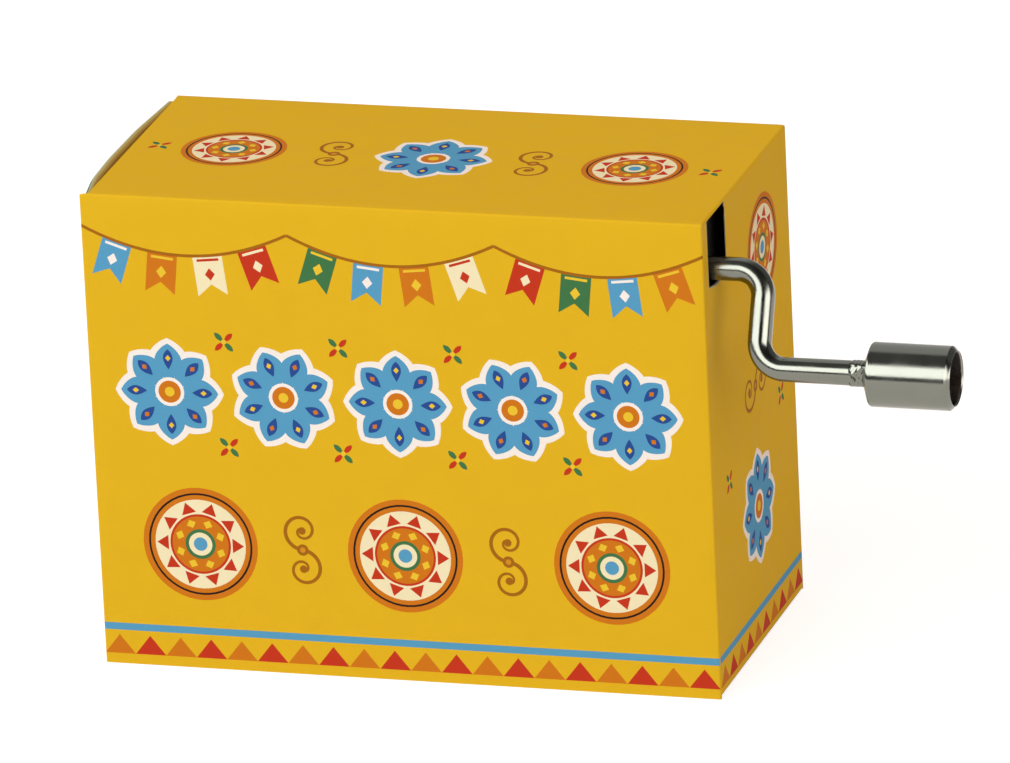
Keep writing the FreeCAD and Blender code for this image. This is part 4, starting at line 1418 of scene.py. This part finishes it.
    def right_shift(self, a: np.ndarray, b: np.ndarray) -> np.ndarray:
        """Lifts the right flap from its fold at the table onto the bottom panel, in a slope of one thickness.

        Args:
            a: The place across the panel, which makes no difference.
            b: The place up the panel, falling into the flap.

        Returns:
            The move of each point.
        """
        fold_end = self.foot + self.board * (1 - QUARTER_TURN)
        lift = box_mm("right_tuck_flap")[0][2] - self.foot
        return np.outer(lift * np.clip((fold_end - b) / self.board, 0, 1), Z_WAY)

    def left_shift(self, a: np.ndarray, b: np.ndarray) -> np.ndarray:
        """Bows the left fold outwards and upwards, as the board springs against its flap.

        Along the fold the bow runs straight between a few soft kinks. Down the panel and into the flap it
        fades as a bell curve. The fold puffs up by a narrow bell curve round its crest.

        Args:
            a: The place along the fold, highest at the front.
            b: The place up the panel and over the fold.

        Returns:
            The move of each point.
        """
        past_turn = b - box_mm("left_tuck_flap")[0][2]
        past_crest = past_turn - self.end_arc
        from_front = self.end_half - a
        softness = self.left_bow_softness
        parts = [from_front + part for part in (-softness, 0.0, softness)]
        bow = sum(np.interp(part, self.left_bow_places, self.left_bow_moves) for part in parts) / 3
        fade = bell(past_turn, np.where(past_turn < 0, *self.left_bow_fade))
        puff = self.left_puff * bell(past_crest, np.where(past_crest < 0, *self.left_puff_width))
        return np.outer(bow * fade, -X_WAY) + np.outer(puff, Z_WAY)

    def left_end(self) -> Piece:
        """Builds the left end panel with its bowed fold and its tuck flap.

        The fold's tones run across the board one over the other: a teal line of painted shade, the cracked
        crease, then painted shade from pale through tan to deep brown into the flap, and then the ground ink.
        A teal wedge and a black dot of painted shade lie over them.

        Returns:
            The piece.
        """
        half = self.end_half
        flap_low, flap_high = box_mm("left_tuck_flap")
        turn_at, flap_half = flap_low[2], flap_high[1]
        flap_start = turn_at + self.end_arc
        flap_end = flap_start + self.tuck_length
        corner = self.tuck_corner
        shoulder = self.left_shoulder - half
        rise, step_back = self.left_shoulder_rise
        outline = [
            (-half, 2 * self.board),
            (half, 2 * self.board),
            (half, turn_at),
            (half - self.left_taper, flap_start),
            (flap_half, flap_start + self.left_step),
            (flap_half, flap_end - corner),
            (flap_half - corner, flap_end),
            (-flap_half + corner, flap_end),
            (-flap_half, flap_end - corner),
            (-flap_half, flap_start + step_back),
            (shoulder, flap_start + rise),
            (shoulder, turn_at),
            (-half, turn_at + self.left_shoulder_foot),
        ]
        # Bands of painted shade on the fold, with the cracked crease among them, then the ground ink and the
        # white flap.
        tones = [(ink, turn_at + place) for ink, place in self.left_tones]
        tones.append((Ink.WHITE, flap_start + self.bleed))
        # A teal wedge of painted shade along the fold's front part.
        wedge_low, wedge_high = (turn_at + place for place in self.left_shade_wedge)
        worn = np.array([(half, wedge_low), (half, wedge_high), (half - self.left_shade_wedge_length, wedge_low)])
        gap_in, gap_up = self.left_gap_shade
        prints = [
            *self.end_prints(-1),
            *((ink, rectangle((-half, low), (half, flap_end))) for ink, low in tones),
            # Painted shade: the teal wedge of the fold's shaded face.
            (Ink.SHADE_TEAL, worn),
            # A black dot of painted shade for the gap at the fold's front end.
            (Ink.BLACK, disc((half - gap_in, turn_at + gap_up), self.left_gap_shade_radius, 12)),
        ]
        return self.panel(
            "left_end_board",
            outline,
            prints,
            (-self.half, 0.0, 0.0),
            -Y_WAY,
            Z_WAY,
            b_bends=(None, Bend(turn_at, self.board)),
            shift=self.left_shift,
            cells=self.left_cells,
        )

    def build(self) -> None:
        """Builds every board of the carton and sets the sleeve's four panels on the carton's body."""
        for piece in (self.front(), self.back(), self.top(), self.bottom()):
            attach(piece, CARTON_BODY)
            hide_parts("sleeve")
        x, z, bend, thick = self.half, self.high[2], self.fold, self.board
        for end, side, board, level, way in (
            ("right", 1, self.right_end(), z, -1),
            ("left", -1, self.left_end(), 0.0, 1),
        ):
            panel, tuck = f"{end}_end_panel", f"{end}_tuck_flap"
            strip = self.crease_strip(f"{end}_crease", side)
            start, stop = self.at(side * (x - bend), level), self.at(side * x, level + way * bend)
            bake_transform(strip)
            low, high = box_mm(tuck)
            turn = high[2] if side > 0 else low[2]
            start, stop = self.at(side * x, turn), self.at(side * (x - thick), turn + way * thick)
            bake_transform(board)
            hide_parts(panel, tuck)

    @staticmethod
    def at(x: float, z: float) -> Triple:
        """Gives a point of the carton's middle plane in metres."""
        return (x * MM, 0.0, z * MM)


@dataclass
class Crank:
    """The bent rod with its squeezed ears and peened end, and the turned knob that spins on it.

    Each ear flat is its tilt in degrees, its distance from the axis at the ears' start and its lean along
    them. The burr is its place along the ears, its angle, its height and its width. The bites are their depth
    and their pitch; they swing by so many radians in so many waves round the rod, and slant as so many waves
    round it and radians a millimetre. The dent's place is a share of the first bend, with a ridge beyond it.
    """

    finishes: Finishes
    radius: ClassVar[float] = 1.15
    taper: Pair = (0.975, 1.03)
    bend_radius: float = 2.5
    arm_x: float = 34.8
    turn: float = math.radians(25)
    throw: float = 9.0
    upright_rate: float = 3.0
    ear_length: float = 1.4
    ear_slope: float = 0.16
    ear_gap: float = 0.1
    ear_half: float = 1.24
    ear_flats: ClassVar[tuple[Triple, ...]] = ((0.0, 1.14, -0.26), (24.0, 1.06, 0.03), (39.0, 1.12, 0.06))
    ear_steepest: float = 0.3
    ear_ragged: ClassVar[tuple[Pair, ...]] = ((0.1, 3), (0.05, 7))
    ear_bites: Pair = (0.02, 0.42)
    bite_swing: Pair = (2.5, 3)
    bite_slant: Pair = (7, 4)
    ear_burr: tuple[float, float, float, float] = (0.4, -1.35, 0.09, 0.17)
    peen_height: float = 0.9
    peen_radii: Pair = (1.8, 0.9)
    dent_depth: float = 0.2
    dent_place: float = 0.45
    dent_width: float = 0.38
    dent_angle: float = 0.35
    dent_sharpness: int = 14
    ridge_beyond: float = 0.7
    ridge_width: float = 0.25
    ridge_share: float = 0.5
    web: float = 2.6
    bore: float = 2.45
    rear_face: float = 1.8
    rear_cone: float = 0.55
    chamfer: float = 0.4
    bore_chamfer: float = 0.1
    bore_corner: float = 0.3
    edge: float = 0.05
    sides: int = 88
    rings_per_mm: float = 6.0
    ear_rings_per_mm: float = 30.0
    ear_rings_reach: float = 1.15
    knob_sides: int = 120
    knob_step: float = 0.12

    def facets(self, angle: np.ndarray, past: np.ndarray) -> np.ndarray:
        """Gives the radius of the squeezed section: the nearest of its flats along each ray.

        A flat at a distance d whose normal makes an angle with the ray lies d over the angle's cosine away.
        Each flat also leans along the rod, as the jaws left it, and a burr stands on the lowest one. The
        jaws' teeth leave small bites: a wave along the rod, swung round it, times a wave round it.

        Args:
            angle: The ray's angle, 0 at the handle's lower side and falling towards its front.
            past: How far each ring is past the ears' start.

        Returns:
            The radius by ring and ray.
        """
        way = past[:, None]
        found = np.full((len(past), len(angle)), self.ear_half)
        for tilt, start, lean in self.ear_flats:
            for normal in (-QUARTER_TURN - math.radians(tilt), QUARTER_TURN + math.radians(tilt)):
                facing = np.maximum(np.cos(angle - normal), self.ear_steepest)
                found = np.minimum(found, (start + lean * way) / facing)
        at, around, height, wide = self.ear_burr
        turn = (angle - around + math.pi) % FULL_TURN - math.pi
        burr = height * np.exp(-(((way - at) / wide) ** 2) - (turn / wide) ** 2)
        depth, pitch = self.ear_bites
        swing, swing_waves = self.bite_swing
        waves, slant = self.bite_slant
        along_rod = np.sin(FULL_TURN * way / pitch + swing * np.sin(swing_waves * angle))
        round_rod = np.cos(waves * angle + slant * way)
        return found + burr + depth * along_rod * round_rod

    def radii(
        self, along: np.ndarray, x: np.ndarray, angle: np.ndarray, knob_x: float, end: float
    ) -> np.ndarray:
        """Gives the rod's radius by ring and ray: round, squeezed at the ears, a cone at the peened end.

        The ears start at a ragged line, a sum of waves round the rod, and rise by a smooth step.

        Args:
            along: The way along the rod.
            x: The place along X of each ring.
            angle: The rays' angles.
            knob_x: Where the knob starts.
            end: Where the rod ends.

        Returns:
            The radii.
        """
        high = knob_x - self.ear_gap
        low = high - self.ear_length
        handle = along > along[-1] / 2
        ragged = sum(height * np.sin(waves * angle) for height, waves in self.ear_ragged)
        begun = np.clip((x[:, None] - low - ragged) / self.ear_slope, 0, 1)
        ear = begun * (np.clip((high - x) / self.edge, 0, 1) * handle)[:, None]
        ear = ear * ear * (3 - 2 * ear)
        peen = np.clip((x - end + self.peen_height) / self.peen_height, 0, 1) * handle
        first, last = self.peen_radii
        plain = self.radius * np.interp(x, (self.arm_x, high), self.taper)
        cone = np.where(peen > 0, first + (last - first) * peen, plain)[:, None]
        return cone * (1 - ear) + self.facets(angle, x - low) * ear

    def dent(self, past: np.ndarray, angle: np.ndarray) -> np.ndarray:
        """Gives the tool's dent at the first bend.

        Along the rod it is a bell curve, less a smaller one for the ridge. Round it, it is a cosine to a
        high power.

        Args:
            past: How far each ring is past the dent's middle.
            angle: The rays' angles.

        Returns:
            How deep it is, by ring and ray.
        """
        ridge = self.ridge_share * bell(past - self.ridge_beyond, self.ridge_width)
        pressed = bell(past, self.dent_width) - ridge
        ray = np.clip(np.cos(angle - self.dent_angle), 0, 1) ** self.dent_sharpness
        return self.dent_depth * pressed[:, None] * ray

    def rod(self) -> Piece:
        """Builds the rod: its section carried along straights and quarter bends.

        The heading turns by the way over the bend's radius, and the place is the sum of the steps along it.

        Returns:
            The piece.
        """
        low, high = box_mm("crank_rod")
        knob_x = box_mm("knob")[0][0]
        start, end = low[0], high[0]
        y, z = high[1:] - self.radius
        radius = self.bend_radius
        straight = self.arm_x - radius - start
        arc = radius * QUARTER_TURN
        handle = end - (self.arm_x + radius)
        stops = np.cumsum([straight, arc, self.throw - 2 * radius, arc, handle])
        along = np.linspace(0, stops[-1], int(stops[-1] * self.rings_per_mm))
        ears_back = np.array([self.ear_gap + self.ear_rings_reach * self.ear_length, 0])
        ears = stops[-1] - end + knob_x - ears_back
        along = np.union1d(along, np.linspace(*ears, int((ears[1] - ears[0]) * self.ear_rings_per_mm)))
        heading = (np.clip(along - stops[0], 0, arc) - np.clip(along - stops[2], 0, arc)) / radius
        step = np.diff(along)
        middle = (heading[1:] + heading[:-1]) / 2
        ahead = start + np.concatenate([[0], np.cumsum(np.cos(middle) * step)])
        down = np.concatenate([[0], np.cumsum(np.sin(middle) * step)])
        down *= self.throw / down[-1]
        ahead += (end - ahead[-1]) * np.clip((along - stops[3]) / handle, 0, 1)
        way = np.array([0, -math.sin(self.turn), -math.cos(self.turn)])
        centre = np.array([0, y, z]) + np.outer(ahead, X_WAY) + np.outer(down, way)
        upright = np.clip((along - stops[3]) / handle * self.upright_rate, 0, 1)[:, None]
        lower = way * (1 - upright) - Z_WAY * upright
        lower /= np.linalg.norm(lower, axis=1, keepdims=True)
        inward = np.cos(heading)[:, None] * lower - np.outer(np.sin(heading), X_WAY)
        aside = np.cross(X_WAY, lower)
        angle = round_angles(self.sides)
        size = self.radii(along, ahead, angle, knob_x, end)
        size = size - self.dent(along - stops[0] - self.dent_place * arc, angle)
        rings = (
            centre[:, None]
            + inward[:, None] * (np.cos(angle) * size)[..., None]
            + aside[:, None] * (np.sin(angle) * size)[..., None]
        )
        points, faces = swept(rings, centre[0], centre[-1])
        piece = make_piece("crank_wire", points, faces, [self.finishes.nickel])
        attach(piece, "crank")
        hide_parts("crank_rod")
        return piece

    def knob(self) -> Piece:
        """Builds the knob: a closed profile turned about the handle, with broken edges and a bore.

        Each point turns about the axis by the cosine and sine of an angle times its distance from it.

        Returns:
            The piece.
        """
        low, high = box_mm("knob")
        y, z = (low[1:] + high[1:]) / 2
        radius = (high[1] - low[1]) / 2
        x0, x1, e = low[0], high[0], self.edge
        hole = self.radius + e
        floor = x0 + self.web
        cone, lip = x0 + self.rear_cone, x1 - self.chamfer
        mouth, mouth_x = self.bore + self.bore_chamfer, x1 - self.bore_chamfer
        profile = np.array(
            [
                (x0, hole),
                (x0, self.rear_face - 1.5 * e),
                (x0 + e / 2, self.rear_face),
                (cone - e, radius - 1.2 * e),
                (cone + e, radius),
                (lip - e, radius),
                (lip + e / 2, radius - e),
                (x1 - e, radius - self.chamfer),
                (x1, radius - self.chamfer - e),
                (x1, mouth + e / 2),
                (x1 - e / 3, mouth),
                (mouth_x, self.bore + e / 3),
                (mouth_x - e, self.bore),
                (floor + self.bore_corner, self.bore),
                (floor, self.bore - self.bore_corner),
                (floor, hole),
            ]
        )
        profile = finer(profile, self.knob_step)
        angle = round_angles(self.knob_sides)
        round_way = np.stack([np.zeros(len(angle)), np.cos(angle), np.sin(angle)], 1)
        rings = np.array([0, y, z]) + profile[:, None, :1] * X_WAY + profile[:, None, 1:] * round_way[None]
        faces = grid_faces(*rings.shape[:2], closed=True)
        inside = (profile[:, 1] < mouth) & (profile[:, 0] > floor - e)
        slots = np.repeat(inside & np.roll(inside, -1), len(angle)).astype(int)
        materials = [self.finishes.knob, self.finishes.bore]
        piece = make_piece("knob_cup", rings.reshape(-1, 3), [faces], materials, slots)
        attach(piece, "knob")
        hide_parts("knob")
        return piece

    def build(self) -> None:
        """Builds the rod and the knob."""
        self.rod()
        self.knob()


def finer(profile: np.ndarray, step: float) -> np.ndarray:
    """Divides the long runs of a closed profile evenly, keeping its corners.

    Args:
        profile: The corners.
        step: The longest run that is left.

    Returns:
        The points.
    """
    following = np.roll(profile, -1, axis=0)
    counts = np.ceil(np.linalg.norm(following - profile, axis=1) / step).astype(int)
    counts = np.maximum(counts, 1)
    share = np.concatenate([np.arange(n) / n for n in counts])[:, None]
    first, last = np.repeat(profile, counts, axis=0), np.repeat(following, counts, axis=0)
    return first + (last - first) * share


def grid_faces(rows: int, columns: int, closed: bool) -> np.ndarray:
    """Joins a grid of points into quads; the columns always close round, the rows where asked.

    Args:
        rows: How many rings there are.
        columns: How many points each ring has.
        closed: Whether the last ring joins the first.

    Returns:
        The quads.
    """
    row = np.arange(rows if closed else rows - 1)[:, None]
    column = np.arange(columns)[None]
    after_row, after_column = (row + 1) % rows, (column + 1) % columns
    corners = [
        row * columns + column,
        row * columns + after_column,
        after_row * columns + after_column,
        after_row * columns + column,
    ]
    return np.stack([np.broadcast_to(corner, (len(row), columns)) for corner in corners], -1).reshape(-1, 4)


def swept(rings: np.ndarray, first: np.ndarray, last: np.ndarray) -> tuple[np.ndarray, list[np.ndarray]]:
    """Joins rings of points into a closed body with a pole at each end.

    Args:
        rings: The rings, by ring, point and axis.
        first: The pole before the first ring.
        last: The pole after the last ring.

    Returns:
        The points, and the quads and the triangles.
    """
    rows, columns = rings.shape[:2]
    quads = grid_faces(rows, columns, False)
    column = np.arange(columns)
    after = (column + 1) % columns
    start, end = rows * columns, rows * columns + 1
    low = np.stack([after, column, np.full(columns, start)], 1)
    high = np.stack([column + (rows - 1) * columns, after + (rows - 1) * columns, np.full(columns, end)], 1)
    points = np.concatenate([rings.reshape(-1, 3), [first, last]])
    return points, [quads, np.concatenate([low, high])]


@dataclass
class Movement:
    """The comb movement behind the panels, and what fastens it: model nodes that get their real finishes."""

    finishes: Finishes

    def build(self) -> None:
        """Gives each node of the movement its finish."""
        f = self.finishes
        drum = ("cylinder_drum", "drum_lower_cap", "drum_upper_cap")
        fixings = ("comb_screws", "comb_washers", "housing_screws", "carton_washers")
        ends, sides = ("left", "right"), ("front", "rear")
        worn = {
            f.brass: ("worm", "cylinder_gear", *drum, "crank_bushes"),
            f.steel: ("cylinder_arbor", "cylinder_pins", *fixings),
            # The carton screws take the plating with painted shade in their recesses.
            f.recess_shaded: ("carton_screws",),
            f.spring: ("shaft_clips", "comb"),
            f.lead: ("comb_weights",),
            f.nylon: ("comb_dampers",),
            f.zinc: ("base_plate",),
            f.moulding: ("crank_housing",),
            f.inside: ("glue_flap",),
            f.flap: tuple(f"dust_flap_{end}_{side}" for end in ends for side in sides),
        }
        for material, nodes in worn.items():
            for node in nodes:
                self.dress(node, material)

    def dress(self, node: str, material: bpy.types.Material) -> None:
        """Puts one material on every slot of a node."""
        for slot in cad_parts[node].material_slots:
            slot.material = material
        log.info("%s: %s", node, material.name)


@dataclass(frozen=True)
class Card:
    """A soft box's bright cloth as gloss sees it: where it lies about the object and how bright it is.

    Its sides are angles in degrees: to the right of the front, and above the horizon.
    """

    azimuth: Pair
    elevation: Pair
    strength: float
    soft: float = 3.0

    def lit(self, tree: Tree, azimuth: Socket, elevation: Socket, below: Socket) -> Socket:
        """Adds the cloth's light: its strength times a smooth step in at each of its four sides.

        Args:
            tree: The node tree.
            azimuth: The direction's angle to the right of the front, in radians.
            elevation: Its angle above the horizon, in radians.
            below: The light to add to.

        Returns:
            The light with the cloth's.
        """
        inside = self.strength
        for angle, (low, high) in ((azimuth, self.azimuth), (elevation, self.elevation)):
            for side, way in ((low, 1), (high, -1)):
                reach = (math.radians(side - way * self.soft), math.radians(side + way * self.soft))
                step = ranged(tree, angle, reach, interpolation_type="SMOOTHSTEP")
                inside = worked_out(tree, "MULTIPLY", inside, step)
        return worked_out(tree, "ADD", below, inside)


@dataclass(frozen=True)
class SoftBox:
    """A soft box that looks at the carton.

    Its place is its azimuth to the right of the front and its elevation, in degrees. Its size is in metres,
    and its power in watts, in red, green and blue.
    """

    name: str
    towards: Pair
    size: Pair
    power: Triple

    def hang(self, aim: Triple, distance: float) -> None:
        """Adds the lamp.

        Args:
            aim: The point that it looks at, in metres.
            distance: How far from that point it hangs, in metres.
        """
        data = bpy.data.lights.new(self.name, "AREA")
        data.shape = "RECTANGLE"
        data.size, data.size_y = self.size
        data.energy = max(self.power)
        data.color = [part / data.energy for part in self.power]
        lamp = bpy.data.objects.new(self.name, data)
        az, el = (math.radians(angle) for angle in self.towards)
        way = Vector((math.sin(az) * math.cos(el), -math.cos(az) * math.cos(el), math.sin(el)))
        turn = way.to_track_quat("Z", "Y").to_matrix().to_4x4()
        lamp.matrix_world = Matrix.Translation(Vector(aim) + way * distance) @ turn
        lamp.visible_camera = False
        bpy.context.scene.collection.objects.link(lamp)


@dataclass
class Studio:
    """Floor, two soft boxes, surroundings and the camera of the photograph.

    In gloss the surroundings are the room, with the white sweep behind the object. They darken to the right,
    and each card is a box's bright cloth.
    """

    azimuth: float = math.radians(17.17)
    elevation: float = math.radians(19.38)
    roll: float = math.radians(2.73)
    place: Triple = (339.2, -1078.6, 421.9)
    lens: float = 455.6
    nearest: float = 0.01
    farthest: float = 50.0
    aim: Triple = (0.005, 0.0, 0.03)
    distance: float = 0.95
    fill: Triple = (0.49, 0.37, 0.31)
    room: float = 0.16
    sweep: float = 0.72
    sweep_from: Pair = (0.2, 0.35)
    right_from: Pair = (-0.1, 0.2)
    right_dimmed: Pair = (1.0, 0.25)
    floor_half: float = 6000.0
    floor_drop: float = 0.02
    floor_shadow: Triple = (0.45, 0.45, 0.45)
    floor_glow: float = 0.8
    floor_bounce: Triple = (0.6, 0.6, 0.59)
    boxes: ClassVar[tuple[SoftBox, ...]] = (
        SoftBox("left_soft_box", (-38, 33), (1.3, 0.6), (7.45, 7.5, 7.52)),
        SoftBox("right_soft_box", (65, 15), (0.66, 0.4), (1.97, 1.75, 1.74)),
    )
    cards: ClassVar[tuple[Card, ...]] = (Card((-74, -6), (16, 54), 1.25), Card((36, 90), (0, 32), 2.5))

    def camera(self) -> None:
        """Sets the camera where the carton's corners in the photograph put it."""
        az, el = self.azimuth, self.elevation
        ahead = Vector((-math.sin(az) * math.cos(el), math.cos(az) * math.cos(el), -math.sin(el)))
        right = ahead.cross(Vector((0, 0, 1))).normalized()
        down = ahead.cross(right)
        c, s = math.cos(self.roll), math.sin(self.roll)
        right, down = c * right + s * down, c * down - s * right
        matrix = Matrix((right, -down, -ahead)).transposed().to_4x4()
        matrix.translation = Vector(self.place) * MM
        data = bpy.data.cameras.new("camera")
        data.lens = self.lens
        data.clip_start = self.nearest
        data.clip_end = self.farthest
        camera = bpy.data.objects.new("camera", data)
        camera.matrix_world = matrix
        bpy.context.scene.collection.objects.link(camera)
        bpy.context.scene.camera = camera

    def gloss(self, tree: Tree) -> Socket:
        """Works out how bright the surroundings are in a reflection, from the direction it looks in.

        Args:
            tree: The node tree.

        Returns:
            The strength.
        """
        place = add(tree, "ShaderNodeTexCoord").outputs["Generated"]
        x, y, z = add(tree, "ShaderNodeSeparateXYZ", {0: place}).outputs
        forward = worked_out(tree, "MULTIPLY", y, -1.0)
        azimuth = worked_out(tree, "ARCTAN2", x, forward)
        elevation = worked_out(tree, "ARCSINE", z)
        behind = ranged(tree, y, self.sweep_from, (self.room, self.sweep))
        gloss = worked_out(tree, "MULTIPLY", behind, ranged(tree, x, self.right_from, self.right_dimmed))
        for card in self.cards:
            gloss = card.lit(tree, azimuth, elevation, gloss)
        return gloss

    def world(self) -> None:
        """Makes the surroundings: a white sweep to the camera, even soft light on the object."""
        world = bpy.data.worlds.new("studio")
        bpy.context.scene.world = world
        tree = cleared(world)
        rays = add(tree, "ShaderNodeLightPath").outputs
        strengths = (((*self.fill, 1), 1.0), (WHITE_LIGHT, self.gloss(tree)), (WHITE_LIGHT, 1.0))
        light, shine, seen = (
            add(tree, "ShaderNodeBackground", {"Color": colour, "Strength": strength}).outputs[0]
            for colour, strength in strengths
        )
        for ray, shown in (("Is Glossy Ray", shine), ("Is Transmission Ray", seen), ("Is Camera Ray", seen)):
            light = add(tree, "ShaderNodeMixShader", {0: rays[ray], 1: light, 2: shown}).outputs[0]
        add(tree, "ShaderNodeOutputWorld", {"Surface": light})

    def floor(self) -> None:
        """Lays the pale floor: it takes the shadow, and to the camera and in gloss it shows white."""
        half = self.floor_half
        points = np.insert(rectangle((-half, -half), (half, half)), 2, -self.floor_drop, axis=1)
        material = bpy.data.materials.new("matt white studio floor")
        tree = cleared(material)
        rays = add(tree, "ShaderNodeLightPath").outputs
        shown = rays["Is Camera Ray"]
        for ray in ("Is Glossy Ray", "Is Transmission Ray"):
            shown = worked_out(tree, "MAXIMUM", shown, rays[ray])
        shadow = add(tree, "ShaderNodeBsdfDiffuse", {"Color": (*self.floor_shadow, 1)})
        bounce = add(tree, "ShaderNodeBsdfDiffuse", {"Color": (*self.floor_bounce, 1)})
        glow = add(tree, "ShaderNodeEmission", {"Color": WHITE_LIGHT, "Strength": self.floor_glow})
        lit = add(tree, "ShaderNodeAddShader", {0: shadow.outputs[0], 1: glow.outputs[0]})
        whole = add(tree, "ShaderNodeMixShader", {0: shown, 1: bounce.outputs[0], 2: lit.outputs[0]})
        add(tree, "ShaderNodeOutputMaterial", {"Surface": whole.outputs[0]})
        make_piece("studio_floor", points, [np.array([[0, 1, 2, 3]])], [material])

    def build(self) -> None:
        """Sets up the studio."""
        self.camera()
        self.floor()
        self.world()
        for box in self.boxes:
            box.hang(self.aim, self.distance)
        bpy.context.scene.view_settings.view_transform = "Standard"


def main() -> None:
    """Builds the studio, the carton, the crank and the movement."""
    logging.basicConfig(level=logging.INFO, format="%(message)s")
    Studio().build()
    finishes = Finishes()
    Carton(finishes, Artwork()).build()
    Crank(finishes).build()
    Movement(finishes).build()


if __name__ == "__main__":
    main()
